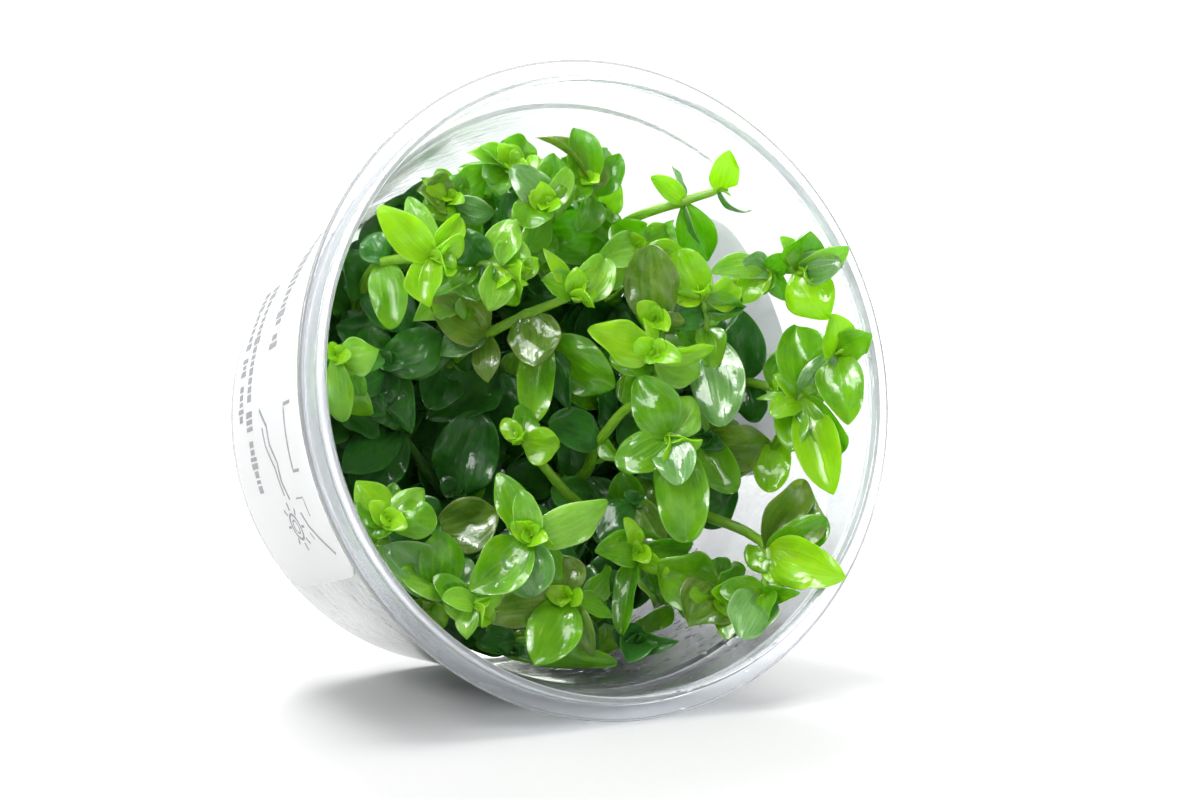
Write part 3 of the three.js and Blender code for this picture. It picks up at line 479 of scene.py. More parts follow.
def capped(rings, first=None, last=None):
    """The points of such a tube; a pole that isn't given is the middle of its ring."""
    first = rings[0].mean(axis=0) if first is None else first
    last = rings[-1].mean(axis=0) if last is None else last
    return np.concatenate([[first], rings.reshape(-1, 3), [last]])


def surface(points, along, end, around, under, tone, vary):
    """A closed tube of rings with what its finish reads: its UV, along it up to end and round it,
    which side is its underside, its tone and how it varies from others."""
    shape = np.broadcast_shapes(along.shape, around.shape)

    def spread(values, first, last):
        return np.concatenate([[first], np.broadcast_to(values, shape).reshape(-1), [last]])

    uv = np.stack([spread(along, 0, end), spread(around, 0.5, 0.5)], -1)
    return {"points": points, "faces": shape, "uv": uv, "under": spread(under, 0, 0),
            "tone": tone, "vary": vary}


def leaf_width(t, widest, blunt):
    """Half width along a leaf as a share of its greatest: sin(pi t^widest)^blunt, with a narrow
    foot that clasps the stem."""
    foot = 0.26 * np.exp(-((t / 0.14) ** 2))
    return np.maximum(np.sin(np.pi * t ** widest).clip(0) ** blunt, foot)


def leaf_blade(place, each, shape, chance):
    """A leaf of one closed surface: rings round a bowed midrib, each an ellipse across the blade
    that is bent up at its edges, pressed in along the midrib and rippled near the margin.

    height = bow (4t(1-t)) - curl t^3, along the facing direction
    across = half width * cos(angle), thickness = sin(angle) * a share of the leaf's own
    """
    rows, ring, wild = shape["rows"], shape["ring"], shape["wild"]
    tip, wide = each["tip"], each["wide"]
    length = np.linalg.norm(tip - place)
    along = (tip - place) / length
    look = each.get("facing", -CUP_FORWARD)
    face = unit(look - along * (look @ along))
    roll = math.radians(each["roll"])
    face = face * math.cos(roll) + np.cross(along, face) * math.sin(roll)
    side = np.cross(along, face)

    step = np.arange(rows)[:, None] + 0.5
    t = 0.65 * ((1 - np.cos(np.pi * step / rows)) / 2) + 0.35 * step / rows
    angle = 2 * np.pi * np.arange(ring) / ring
    across = np.cos(angle)[None, :]

    pointed = chance.uniform(0, 1) ** 1.6 * each.get("pointed", 1)
    outline = leaf_width(t, chance.uniform(0.8, 1.12), 0.44 + 0.5 * pointed)
    half = wide / 2 * outline * (1 + shape["fuller"] + 0.12 * pointed)
    bow = LEAF_BOW * each["bow"] * length
    curl = wild * chance.uniform(-0.06, 0.16) * length
    sway = wild * chance.uniform(-0.1, 0.1) * length
    twist = wild * chance.uniform(-0.7, 0.7) * (t - 0.3)
    cupping = wild * LEAF_CUP * chance.uniform(-1.4, 2.6)
    fold = chance.uniform(-0.06, 0.34)
    ripple = chance.uniform(0.02, 0.1) * wide
    beat = chance.uniform(1.1, 2.2)
    phase = chance.uniform(0, 6.3, 3)

    height = 4 * bow * t * (1 - t) - curl * t ** 3
    slope = (4 * bow * (1 - 2 * t) - 3 * curl * t ** 2) / length
    drift = sway * t * (1 - t) * 2
    upward = unit(face - along * slope[..., None])
    cosine, sine = np.cos(twist)[..., None], np.sin(twist)[..., None]
    turn = side * cosine + upward * sine
    upright = upward * cosine - side * sine

    edge = across ** 2
    groove = -GROOVE * wide * np.exp(-((across / 0.13) ** 2)) * np.sin(np.pi * t) ** 0.5
    ribs = RIB * wide * np.cos(across * 15) * (1 - edge) * np.sin(np.pi * t)
    waves = ripple * edge * np.sin(2 * np.pi * beat * t + phase[0] + 1.2 * across)
    swell = SWELL * wide * np.sin(5 * t + phase[1]) * np.sin(3 * across + phase[2])
    swell = swell + FINE_SWELL * wide * np.sin(13 * t + phase[2]) * np.cos(6 * across)
    bent = (half * (cupping * edge + fold * np.abs(across)) + groove + ribs + waves
            + swell * half / 3)
    thick = shape["thick"] * (0.55 + 0.45 * np.sqrt(np.clip(t * 4, 0, 1))) * np.sin(angle) / 2
    thick = thick * np.clip((1 - t) * 9, 0.25, 1) * np.clip(half / 0.9, 0.3, 1)

    spine = place + along * (length * t)[..., None] + face * height[..., None]
    spine = spine + side * drift[..., None]
    rings = spine + turn * (half * across)[..., None] + upright * (bent + thick)[..., None]
    points = inside(capped(rings, place, tip + face * (-curl)))
    under = (1 - np.sign(np.sin(angle) + 1e-6)) / 2
    return surface(points, t, 1, (across + 1) / 2, under, each["tone"], chance.uniform(0, 1))


def stem_tube(route, nodes_at, tone):
    """A stem along a route: rings square to it, thinner towards the top, swollen at each node
    by exp(-(distance)^2) and faintly ridged round by cos(4 angle)."""
    tangent = unit(np.gradient(route, axis=0))
    guide = unit(np.cross(unit(route[-1] - route[0]), [0.31, 0.87, 0.38]))
    across = unit(np.cross(tangent, guide))
    other = np.cross(tangent, across)
    run = run_along(route)
    swell = sum((0.24 * np.exp(-(((run - at) / 0.9) ** 2)) for at in nodes_at), 0 * run)
    ends = np.minimum(run + 0.05, run[-1] - run + 0.05) / STEM_RADIUS
    size = STEM_RADIUS * (1 - 0.3 * (run / run[-1]) ** 2) * (1 + swell)
    size = size * np.sqrt(np.clip(ends, 0.1, 1))
    angle = 2 * np.pi * np.arange(STEM_RING) / STEM_RING
    size = size[:, None] * (1 + 0.04 * np.cos(4 * angle))
    rings = (route[:, None] + across[:, None] * (size * np.cos(angle))[..., None]
             + other[:, None] * (size * np.sin(angle))[..., None])
    points = capped(rings, route[0], route[-1])
    around = 0.5 - 0.5 * np.cos(angle)
    return surface(points, run[:, None] / 10, run[-1] / 10, around[None], 0, tone, 0.5)


def drawn_pair(chance, place, turn, length, wide, rise, tones=(DARK,)):
    """A plain pair whose sizes, and tone where it has a choice, are drawn from those given."""
    sizes = [chance.uniform(*ends) for ends in (length, wide, rise)]
    tone = str(chance.choice(tones)) if len(tones) > 1 else tones[0]
    return plain_pair(place, turn, *sizes, tone)


def hidden_pairs(route, run, stretch, spacing, chance, turn):
    """Leaf pairs along a stretch of stem, each pair square to the one before."""
    out = []
    for step, at in enumerate(np.arange(*stretch, spacing)):
        place = place_at(at, run, route)
        way = turn + 90 * step + chance.uniform(-20, 20)
        pair = drawn_pair(chance, place, way, length=(8, 11.5), wide=(5.2, 7.4), rise=(0, 5))
        out += [(place, one) for one in pair]
    return out


def foot_leaves(place, count, chance):
    """Old leaves that lie near the gel round a stem's foot, most where the cup is shut in."""
    outward = math.degrees(math.atan2(place[1], place[0]))
    out = []
    for _ in range(count if place[0] < OPEN_SIDE else count * 2 // 3):
        at = place + np.array([0, 0, chance.uniform(0, 6)])
        way = outward + chance.uniform(-110, 110)
        pair = drawn_pair(chance, at, way, length=(9, 15), wide=(6.5, 9.5), rise=(-1, 4))
        out.append((at, pair[0]))
    return out


def between_leaves(route, run, stops, chance):
    """Side leaves between the upper nodes, which fill the crowns as short side shoots do."""
    out = []
    for low_at, high_at in zip(stops[:-1], stops[1:]):
        for share in (0.35, 0.7):
            place = place_at(low_at + share * (high_at - low_at), run, route)
            pair = drawn_pair(chance, place, chance.uniform(0, 180), length=(5.5, 8.5),
                              wide=(3.6, 5.4), rise=(-1, 3), tones=(DARK, GREEN, GREEN, PALE))
            for one in pair:
                one["facing"] = unit(UP_THE_CUP + chance.uniform(-0.7, 0.7, 3))
                out.append((place, one))
    return out


def bud_leaves(place, ahead, size, tone, chance):
    """The young leaves at a shoot's tip: pairs that stand nearly along the stem, each smaller
    and closer than the one outside it."""
    guide = unit(np.cross(ahead, [0.2, 0.5, 0.8]))
    tiers = ((1, 0.6, 0.75), (0.75, 0.46, 0.45), (0.5, 0.3, 0.2))
    out = []
    for step, (long, wide, spread) in enumerate(tiers):
        turn = chance.uniform(0, 0.6) + step * math.pi / 2
        way = guide * math.cos(turn) + np.cross(ahead, guide) * math.sin(turn)
        for sign in (1, -1):
            tip = inside(place + size * long * unit(ahead + sign * spread * way))
            facing = unit(ahead - sign * 1.5 * way)
            out.append((place, {"tip": tip, "wide": size * wide, "roll": 0, "bow": 0.9,
                                "tone": tone, "pointed": 0.2, "facing": facing}))
    return out


def shoot_blades(index, each, shape):
    """The stem and every leaf of one shoot, as separate closed surfaces of one plant."""
    chance = np.random.default_rng(FIRST_SEED + index)
    name, nodes = each["name"], each["nodes"]
    calm = name == CALM_SHOOT
    shape = {**shape, "wild": CALM_SHARE if calm else 1}
    plain = {**shape, "rows": shape["rows"] * 2 // 3, "ring": shape["ring"] * 2 // 3}
    x, y, _ = nodes[0]["place"]
    root = np.array([x * ROOT_SPREAD, y * ROOT_SPREAD, GEL_TOP - ROOT_DEPTH])
    route = smooth_route([root, *(n["place"] for n in nodes)], STEM_STEPS)
    run = run_along(route)
    stops = run[np.arange(1, len(nodes) + 1) * STEM_STEPS - 1]
    leafy = [at for at, n in zip(stops, nodes) if not n.get("bare")]
    # Painted shade: a shoot that stays low gets the darker stem and dark buds
    high = nodes[-1]["place"][2] > BRIGHT_HEIGHT
    blades = [stem_tube(route, leafy[:-1], "stem" if high else "shaded_stem")]

    def add_leaves(leaves, fineness):
        blades.extend(leaf_blade(place, one, fineness, chance) for place, one in leaves)

    for n in nodes:
        pair = plain_pair(n["place"], index * GOLDEN_TURN) if n.get("paired") else []
        add_leaves([(n["place"], one) for one in [*n["leaves"], *pair]], shape)
    stretch = (FIRST_PAIR, stops[0] - LAST_PAIR)
    extra = hidden_pairs(route, run, stretch, shape["spacing"], chance, index * HIDDEN_TURN)
    add_leaves(extra + foot_leaves(route[2], shape["foot"], chance), plain)
    if name not in BARE_STEMS:
        add_leaves(between_leaves(route, run, stops, chance), shape)
    ahead = unit(route[-1] - route[-3])
    size = shape["bud"] * chance.uniform(0.7, 1.15) * (1 if high else 0.8) * (0.4 if calm else 1)
    tone = LIME if high else DARK
    add_leaves(bud_leaves(route[-1] - BUD_DEPTH * ahead, ahead, size, tone, chance), plain)
    return blades


def rounded(outline, steps=5):
    """A closed outline of (radius, height, rounding) with each corner drawn as a short curve:
    a quadratic blend from the rounding's distance before the corner to the same after it."""
    outline = np.asarray(outline, float)
    points = outline[:, :2]
    before, after = np.roll(points, 1, axis=0), np.roll(points, -1, axis=0)
    t = np.linspace(0, 1, steps)[:, None]
    out = []
    for p, a, b, r in zip(points, before, after, outline[:, 2]):
        start, end = (p + unit(q - p) * min(r, np.linalg.norm(q - p) / 2) for q in (a, b))
        curve = (1 - t) ** 2 * start + 2 * t * (1 - t) * p + t ** 2 * end
        out.append(curve if r else p[None])
    return np.concatenate(out)


def revolved(profile, segments):
    """A body turned about the cup's axis from a profile that starts and ends on it. Returns
    points and faces with one pole at each end of the profile."""
    turn = 2 * np.pi * np.arange(segments) / segments
    radius, z = profile[1:-1, :1], profile[1:-1, 1:]
    rings = np.stack([radius * np.cos(turn), radius * np.sin(turn), z + 0 * turn], -1)
    ends = [[0, 0, profile[k, 1]] for k in (0, -1)]
    return capped(rings, *ends), closed_grid(len(rings), segments)


def wall_radius(z):
    """The wall's outside between its corner and its shoulder: a straight taper."""
    slope = (SHOULDER_RADIUS - BASE_RADIUS) / (SHOULDER_HEIGHT - BASE_CORNER)
    return BASE_RADIUS + (np.asarray(z, float) - BASE_CORNER) * slope


def on_wall(turn, z, off):
    """A place over the wall at a turn in degrees, a height and a distance off it."""
    angle = np.radians(turn)
    r = wall_radius(z) + off
    return np.stack([r * np.cos(angle), r * np.sin(angle), np.broadcast_to(z, r.shape)], -1)


def label_sheet(place, thick, slant, columns=64, rows=10):
    """A rounded rectangle wrapped on the wall, its far end slanted by so many degrees for each
    millimetre of height. Its half height is cut near both ends by
    r - sqrt(r^2 - x^2), x being how far into the corner a column lies."""
    start, end, low_z, high_z = place
    middle, half = (low_z + high_z) / 2, (high_z - low_z) / 2
    step = np.arange(columns) / (columns - 1)
    along = step - 0.85 * np.sin(2 * np.pi * step) / (2 * np.pi)
    length = math.radians(end - start) * float(wall_radius(middle))
    inset = np.clip(LABEL_CORNER - np.minimum(along, 1 - along) * length, 0, LABEL_CORNER)
    cut = LABEL_CORNER - np.sqrt(LABEL_CORNER ** 2 - inset ** 2)
    z = middle + (half - cut)[:, None] * np.linspace(-1, 1, rows)
    turn = (start + (end - start) * along)[:, None] - slant * along[:, None] * (z - middle)
    outer = on_wall(turn, z, LABEL_GAP + thick)
    inner = on_wall(turn[:, ::-1], z[:, ::-1], LABEL_GAP)
    return capped(np.concatenate([outer, inner], axis=1)), closed_grid(columns, 2 * rows)


def bar_on_wall(path, wide, off):
    """A printed bar: a flat strip of one width along a path of (turn, height) over the wall."""
    path = np.asarray(path, float)
    steps = np.maximum(np.ceil(np.abs(np.diff(path[:, 0])) / BAR_STEP), 1).astype(int)
    share = np.concatenate([k + np.arange(n) / n for k, n in enumerate(steps)] + [[len(steps)]])
    turn, z = (np.interp(share, np.arange(len(path)), path[:, k]) for k in (0, 1))
    radius = wall_radius(z)
    flat = np.stack([np.radians(turn) * radius, z], -1)
    ahead = unit(np.gradient(flat, axis=0))
    out = np.stack([-ahead[:, 1], ahead[:, 0]], -1) * wide / 2
    rings = []
    for sign, height in ((1, BAR_THICK), (-1, BAR_THICK), (-1, 0), (1, 0)):
        moved = flat + sign * out
        rings.append(on_wall(np.degrees(moved[:, 0] / radius), moved[:, 1], off + height))
    return np.stack(rings, axis=1)


# Finishes
def feed(tree, made, inputs):
    """Sets each of a node's inputs to a value or joins it to a socket."""
    for key, value in inputs.items():
        socket = made.inputs[key]
        if isinstance(value, bpy.types.NodeSocket):
            tree.links.new(value, socket)
        elif socket.type == "RGBA":
            socket.default_value = (*value, 1)[:4]
        else:
            socket.default_value = value


def add(tree, kind, inputs=None, **settings):
    """A shader node with its settings and inputs."""
    made = tree.nodes.new("ShaderNode" + kind)
    for key, value in settings.items():
        setattr(made, key, value)
    feed(tree, made, inputs or {})
    return made


def new_material(name):
    """An empty material with its Principled shader and its output."""
    material = bpy.data.materials.new(name)
    material.use_nodes = True
    tree = material.node_tree
    tree.nodes.clear()
    output = add(tree, "OutputMaterial")
    shader = add(tree, "BsdfPrincipled")
    tree.links.new(shader.outputs["BSDF"], output.inputs["Surface"])
    return material, tree, shader, output


def partly(tree, output, share, shader, other):
    """Joins a mix of the Principled shader with so much of another to the material's output."""
    mixed = add(tree, "MixShader", {"Fac": share, 1: shader.outputs["BSDF"], 2: other.outputs[0]})
    tree.links.new(mixed.outputs["Shader"], output.inputs["Surface"])


def places(tree):
    """Places on the piece, in metres."""
    return add(tree, "TexCoord").outputs["Object"]


def noise(tree, at, scale, detail, roughness=0.5):
    """A Noise texture's value."""
    return add(tree, "TexNoise", {"Vector": at, "Scale": scale, "Detail": detail,
                                  "Roughness": roughness}).outputs["Fac"]


def spots(tree, at, scale):
    """The distance from the middle of a Voronoi texture's cells."""
    return add(tree, "TexVoronoi", {"Vector": at, "Scale": scale}).outputs["Distance"]


def attribute(tree, name):
    """A value that the mesh holds at its points."""
    return add(tree, "Attribute", attribute_name=name).outputs["Fac"]


def maths(tree, operation, *values, clamp=False):
    """A Math node's output for one to three values."""
    made = add(tree, "Math", dict(enumerate(values)), operation=operation, use_clamp=clamp)
    return made.outputs["Value"]


def times(tree, value, share):
    """A value times another."""
    return maths(tree, "MULTIPLY", value, share)


def plus(tree, value, share, base):
    """So much of a value on top of a base."""
    return maths(tree, "MULTIPLY_ADD", value, share, base)


def blended(tree, share, first, second):
    """A Mix node's colour between two colours or sockets."""
    return add(tree, "Mix", {0: share, 6: first, 7: second}, data_type="RGBA").outputs[2]


def ramp(tree, value, *stops, ease="LINEAR"):
    """A Color Ramp's output for stops of (place, grey)."""
    made = add(tree, "ValToRGB", {"Fac": value})
    made.color_ramp.interpolation = ease
    elements = made.color_ramp.elements
    while len(elements) < len(stops):
        elements.new(0.5)
    for element, (place, grey) in zip(elements, stops):
        element.position = place
        element.color = (grey, grey, grey, 1)
    return made.outputs["Color"]


def bumped(tree, height, strength, distance):
    """A Bump node's normal for a height and the distance in metres that it stands for."""
    return add(tree, "Bump", {"Height": height, "Strength": strength,
                              "Distance": distance}).outputs["Normal"]


def leaf_pattern_group():
    """Masks that every leaf finish shares, from the blade's own UV map, where U runs along the
    leaf and V across it: ribs that curve with the margin, the paler margin, soft blotches,
    small pits and the height of all these."""
    tree = bpy.data.node_groups.new("Leaf pattern", "ShaderNodeTree")
    for key in ("Blotch", "Pits"):
        socket = tree.interface.new_socket(key, in_out="INPUT", socket_type="NodeSocketFloat")
        socket.default_value = 1
    given = tree.nodes.new("NodeGroupInput").outputs
    uv = add(tree, "UVMap", uv_map="blade").outputs["UV"]
    split = add(tree, "SeparateXYZ", {"Vector": uv}).outputs
    coords = places(tree)
    across = maths(tree, "ABSOLUTE", plus(tree, split["Y"], 2, -1))
    ribs = ramp(tree, across, (0, 1), (0.04, 0.9), (0.1, 0.1), (0.3, 0), (0.37, 0.8), (0.44, 0),
                (0.62, 0), (0.68, 0.55), (0.74, 0))
    ribs = times(tree, ribs, ramp(tree, split["X"], (0, 1), (0.5, 0.8), (0.95, 0.1)))
    drawn_out = add(tree, "Mapping", {"Vector": uv, "Scale": (4, 24, 1)}).outputs[0]
    own = add(tree, "CombineXYZ", {"Z": times(tree, attribute(tree, "vary"), 90)}).outputs[0]
    shifted = add(tree, "VectorMath", {0: drawn_out, 1: own}).outputs[0]
    streaks = ramp(tree, noise(tree, shifted, 1, 2), (0.38, 0), (0.64, 1))
    foot = times(tree, ramp(tree, split["X"], (0, 1), (0.18, 0.7), (0.55, 0)),
                 maths(tree, "SUBTRACT", 1.1, across, clamp=True))
    patches = noise(tree, coords, 240, 3, 0.55)
    fine = noise(tree, coords, 2600, 2)
    dots = ramp(tree, spots(tree, coords, 1500), (0, 1), (0.22, 0.6), (0.4, 0))
    dots = times(tree, dots, ramp(tree, noise(tree, coords, 900, 1), (0.45, 0), (0.62, 1)))
    pits = times(tree, dots, given["Pits"])
    height = times(tree, patches, 0.7)
    for part, share in ((ribs, -0.8), (noise(tree, coords, 620, 1), 0.45), (streaks, 0.16),
                        (fine, 0.16), (pits, -0.16)):
        height = plus(tree, part, share, height)
    masks = {
        "Ribs": ribs, "Streaks": streaks, "Foot": foot, "Pits": pits, "Height": height,
        "Margin": ramp(tree, across, (0, 0), (0.84, 0), (0.97, 1)),
        "Blotches": times(tree, ramp(tree, patches, (0.36, 0), (0.66, 1)), given["Blotch"]),
        "Grain": ramp(tree, fine, (0.42, 0), (0.66, 1))}
    for key in masks:
        tree.interface.new_socket(key, in_out="OUTPUT", socket_type="NodeSocketFloat")
    feed(tree, tree.nodes.new("NodeGroupOutput"), masks)
    return tree


def leaf_material(name, look, pattern):
    """A moist leaf: its colour varies by leaf, blotch, rib and margin, light from behind glows
    through the blade, and a thin wet coat makes the fine pits sparkle."""
    material, tree, shader, output = new_material(name)
    masks = add(tree, "Group", node_tree=pattern)
    feed(tree, masks, {"Blotch": look["blotch"], "Pits": look["pits"]})
    masks = masks.outputs
    base = blended(tree, attribute(tree, "vary"), look["colour"], look["other"])
    base = blended(tree, masks["Blotches"], base, look["blotch_colour"])
    for mask, share, colour in (
            (masks["Ribs"], look["rib"], "rib_colour"),
            (masks["Streaks"], look["streak"], "rib_colour"),
            (masks["Foot"], 0.4, "rib_colour"),
            (masks["Grain"], 0.3, "rib_colour"),
            (masks["Margin"], look["margin"], "margin_colour"),
            (masks["Pits"], look["speck"], "speck_colour"),
            (attribute(tree, "under"), look["paler_under"], "margin_colour")):
        base = blended(tree, times(tree, mask, share), base, look[colour])
    feed(tree, shader, {
        "Base Color": base, "Roughness": plus(tree, masks["Blotches"], 0.25, look["rough"] - 0.1),
        "Specular IOR Level": look["shine"], "Normal": bumped(tree, masks["Height"], 0.6, 0.00022),
        "Coat Weight": look["wet"], "Coat Roughness": 0.06, "Coat IOR": 1.5,
        "Coat Normal": bumped(tree, noise(tree, places(tree), 420, 3, 0.56), 0.5, 0.0004)})
    glow = add(tree, "BsdfTranslucent", {"Color": blended(tree, 0.55, base, look["glow"])})
    partly(tree, output, look["through"], shader, glow)
    return material


def stem_material(name, colour, other):
    """A juicy stem: green with lighter ridges, fine hairs as roughness, and some glow."""
    material, tree, shader, output = new_material(name)
    uv = add(tree, "UVMap", uv_map="blade").outputs["UV"]
    stretched = add(tree, "Mapping", {"Vector": uv, "Scale": (1.5, 9, 1)}).outputs["Vector"]
    streaks = noise(tree, stretched, 3, 4)
    base = blended(tree, ramp(tree, streaks, (0.35, 0), (0.65, 1)), colour, other)
    height = plus(tree, streaks, 0.8, noise(tree, places(tree), 2600, 2))
    feed(tree, shader, {"Base Color": base, "Roughness": 0.34, "Coat Weight": 0.25,
                        "Coat Roughness": 0.2, "Normal": bumped(tree, height, 0.5, 0.0002)})
    partly(tree, output, 0.3, shader, add(tree, "BsdfTranslucent", {"Color": base}))
    return material


def clear_plastic(name, colour, roughness, ior, clear, height_of, wet=None):
    """A see-through moulding: plain transmission, which lets the lamps' light straight through
    for shadows, with a bump from the given height. Low on the lying cup its colour goes over in
    patches to the darker tint passed as wet: painted shade of the floor's shadow seen through it."""
    material, tree, shader, output = new_material(name)
    shown = colour
    # Painted shade: the darker tint passed as wet stands for the floor's shadow seen through the
    # wall
    if wet:
        coords = places(tree)
        patches = ramp(tree, noise(tree, coords, 90, 3), (0.42, 0), (0.6, 1))
        share = times(tree, plus(tree, patches, 0.35, 0.65), wet_share(tree, coords))
        shown = blended(tree, share, colour, wet)
    feed(tree, shader, {
        "Base Color": shown, "Roughness": roughness, "IOR": ior, "Transmission Weight": clear,
        "Normal": bumped(tree, *height_of(tree))})
    shadow = add(tree, "LightPath").outputs["Is Shadow Ray"]
    straight = add(tree, "BsdfTransparent", {"Color": [0.74 * c for c in colour]})
    partly(tree, output, shadow, shader, straight)
    return material


def wet_share(tree, coords):
    """How low a place is on the lying cup, by its height above the floor: most along its
    underside. It places both the wet drops and the painted shade of the floor's shadow.
    """
    height = add(tree, "SeparateXYZ", {"Vector": coords}).outputs["Z"]
    return ramp(tree, times(tree, height, 10), (0.05, 1), (0.34, 0), ease="EASE")


def moulding_height(tree):
    """Flow marks in the plastic, soft waves drawn out along the wall, and small drops where the
    cup is wet: their height, strength and distance."""
    coords = places(tree)
    waves = noise(tree, coords, 60, 2)
    height = plus(tree, noise(tree, coords, 420, 3), 0.25, waves)
    drops = ramp(tree, spots(tree, coords, 420), (0, 1), (0.2, 0.8), (0.32, 0), ease="EASE")
    drops = times(tree, drops, ramp(tree, waves, (0.5, 0), (0.58, 1)))
    drops = times(tree, drops, wet_share(tree, coords))
    return plus(tree, drops, 0.5, height), 0.6, 0.0004


def gel_height(tree):
    """The gel's wet face, low lumps: their height, strength and distance."""
    return noise(tree, places(tree), 130, 3), 0.6, 0.0008


def label_material(colour):
    """White film with a faint mottle and satin face."""
    material, tree, shader, output = new_material("label_film")
    mottle = noise(tree, places(tree), 300, 4)
    base = blended(tree, times(tree, mottle, 0.12), colour, (0.7, 0.71, 0.72))
    feed(tree, shader, {"Base Color": base, "Roughness": 0.42,
                        "Normal": bumped(tree, mottle, 0.2, 0.0001)})
    partly(tree, output, 0.42, shader, add(tree, "BsdfTranslucent", {"Color": base}))
    return material


def ink_material(colour):
    """Grey ink, a little uneven."""
    material, tree, shader, _ = new_material("label_ink")
    lighter = [min(1, 1.7 * c) for c in colour]
    base = blended(tree, noise(tree, places(tree), 900, 3), colour, lighter)
    feed(tree, shader, {"Base Color": base, "Roughness": 0.5})
    return material


def leaf_look(**own):
    """A tone's look, from what most have. Leaves vary between colour and other. blotch, rib,
    streak, margin, speck and paler_under are shares of their colours, pits is the depth of the
    pits, through the share of light that passes, and glow that light's colour."""
    return {"rib": 0.7, "streak": 0.36, "margin": 0.45, "paler_under": 0.25, "rough": 0.34,
            "shine": 0.35, "wet": 1, **own}


LEAF_LOOKS = {
    DARK: leaf_look(
        colour=(0.03, 0.18, 0.02), other=(0.075, 0.31, 0.02), blotch_colour=(0.012, 0.1, 0.018),
        rib_colour=(0.06, 0.24, 0.03), margin_colour=(0.1, 0.32, 0.05),
        speck_colour=(0.01, 0.05, 0.005), glow=(0.08, 0.55, 0), blotch=0.6, margin=0.4, pits=0.6,
        speck=0.3, through=0.34, rough=0.36, wet=0.7, paler_under=0.2),
    GREEN: leaf_look(
        colour=(0.11, 0.36, 0.002), other=(0.29, 0.56, 0.003), blotch_colour=(0.045, 0.25, 0.005),
        rib_colour=(0.24, 0.56, 0.02), margin_colour=(0.3, 0.6, 0.06),
        speck_colour=(0.02, 0.13, 0.004), glow=(0.4, 0.92, 0), blotch=0.75, pits=0.7, speck=0.2,
        through=0.46),
    LIME: leaf_look(
        colour=(0.27, 0.64, 0.004), other=(0.46, 0.8, 0.005), blotch_colour=(0.15, 0.48, 0.004),
        rib_colour=(0.54, 0.8, 0.03), margin_colour=(0.56, 0.8, 0.1),
        speck_colour=(0.08, 0.3, 0.004), glow=(0.62, 1, 0), blotch=0.65, streak=0.4, pits=0.6,
        speck=0.12, through=0.55),
    OLIVE: leaf_look(
        colour=(0.07, 0.18, 0.008), other=(0.25, 0.38, 0.02), blotch_colour=(0.05, 0.2, 0.006),
        rib_colour=(0.26, 0.44, 0.05), margin_colour=(0.34, 0.38, 0.14),
        speck_colour=(0.04, 0.06, 0.008), glow=(0.42, 0.7, 0), blotch=0.9, rib=0.8, streak=0.42,
        margin=0.5, pits=1, speck=0.5, through=0.4),
    # Painted sheen, partly paler undersides: greyer, bluer colours and whitish margins
    GREY_SHEEN: leaf_look(
        colour=(0.12, 0.34, 0.045), other=(0.2, 0.45, 0.08), blotch_colour=(0.07, 0.28, 0.04),
        rib_colour=(0.26, 0.5, 0.16), margin_colour=(0.44, 0.64, 0.3),
        speck_colour=(0.03, 0.14, 0.02), glow=(0.22, 0.7, 0.01), blotch=0.7, rib=0.6, streak=0.32,
        margin=0.5, pits=0.9, speck=0.4, through=0.3, rough=0.42, shine=0.6),
    PALE: leaf_look(
        colour=(0.21, 0.53, 0.012), other=(0.34, 0.67, 0.025), blotch_colour=(0.12, 0.42, 0.015),
        rib_colour=(0.46, 0.74, 0.09), margin_colour=(0.55, 0.78, 0.24),
        speck_colour=(0.09, 0.3, 0.02), glow=(0.5, 0.95, 0.02), blotch=0.8, rib=0.65, margin=0.55,
        pits=0.8, speck=0.2, through=0.48, rough=0.38, shine=0.5),
}


def smooth_piece(name, points, faces, materials, sharp):
    """A mesh piece in the row's frame, smooth but for edges over an angle, that rides on the
    body."""
    mesh = bpy.data.meshes.new(name)
    mesh.from_pydata(laid_down(points).tolist(), [], faces)
    for material in materials:
        mesh.materials.append(material)
    mesh.shade_smooth()
    if sharp:
        mesh.set_sharp_from_angle(angle=math.radians(sharp))
    piece = bpy.data.objects.new(name, mesh)
    bpy.context.scene.collection.objects.link(piece)
    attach(piece, "root")
    return piece


def blades_piece(name, blades, materials):
    """One plant's mesh from its closed surfaces, with each blade's finish, UV and attributes."""
    sizes = [len(b["points"]) for b in blades]
    starts = np.cumsum([0] + sizes).tolist()
    faces, slots = [], []
    for start, blade in zip(starts, blades):
        own = closed_grid(*blade["faces"], start)
        faces += own
        slots += [list(materials).index(blade["tone"])] * len(own)
    points = np.concatenate([b["points"] for b in blades])
    piece = smooth_piece(name, points, faces, materials.values(), sharp=0)
    mesh = piece.data
    mesh.polygons.foreach_set("material_index", slots)
    corner = np.zeros(len(mesh.loops), int)
    mesh.loops.foreach_get("vertex_index", corner)
    uv = np.concatenate([b["uv"] for b in blades])[corner]
    mesh.uv_layers.new(name="blade").data.foreach_set("uv", uv.astype(np.float32).ravel())
    for key, values in (("under", np.concatenate([b["under"] for b in blades])),
                        ("vary", np.repeat([b["vary"] for b in blades], sizes))):
        held = mesh.attributes.new(key, "FLOAT", "POINT").data
        held.foreach_set("value", values.astype(np.float32))
    return piece


# Settings
def float_of(label, text, default, **kind):
    """A setting of one number that isn't negative."""
    return bpy.props.FloatProperty(name=label, description=text, default=default, min=0, **kind)


def length_of(label, text, default):
    """A length setting in metres."""
    return float_of(label, text, default, precision=5, unit="LENGTH")


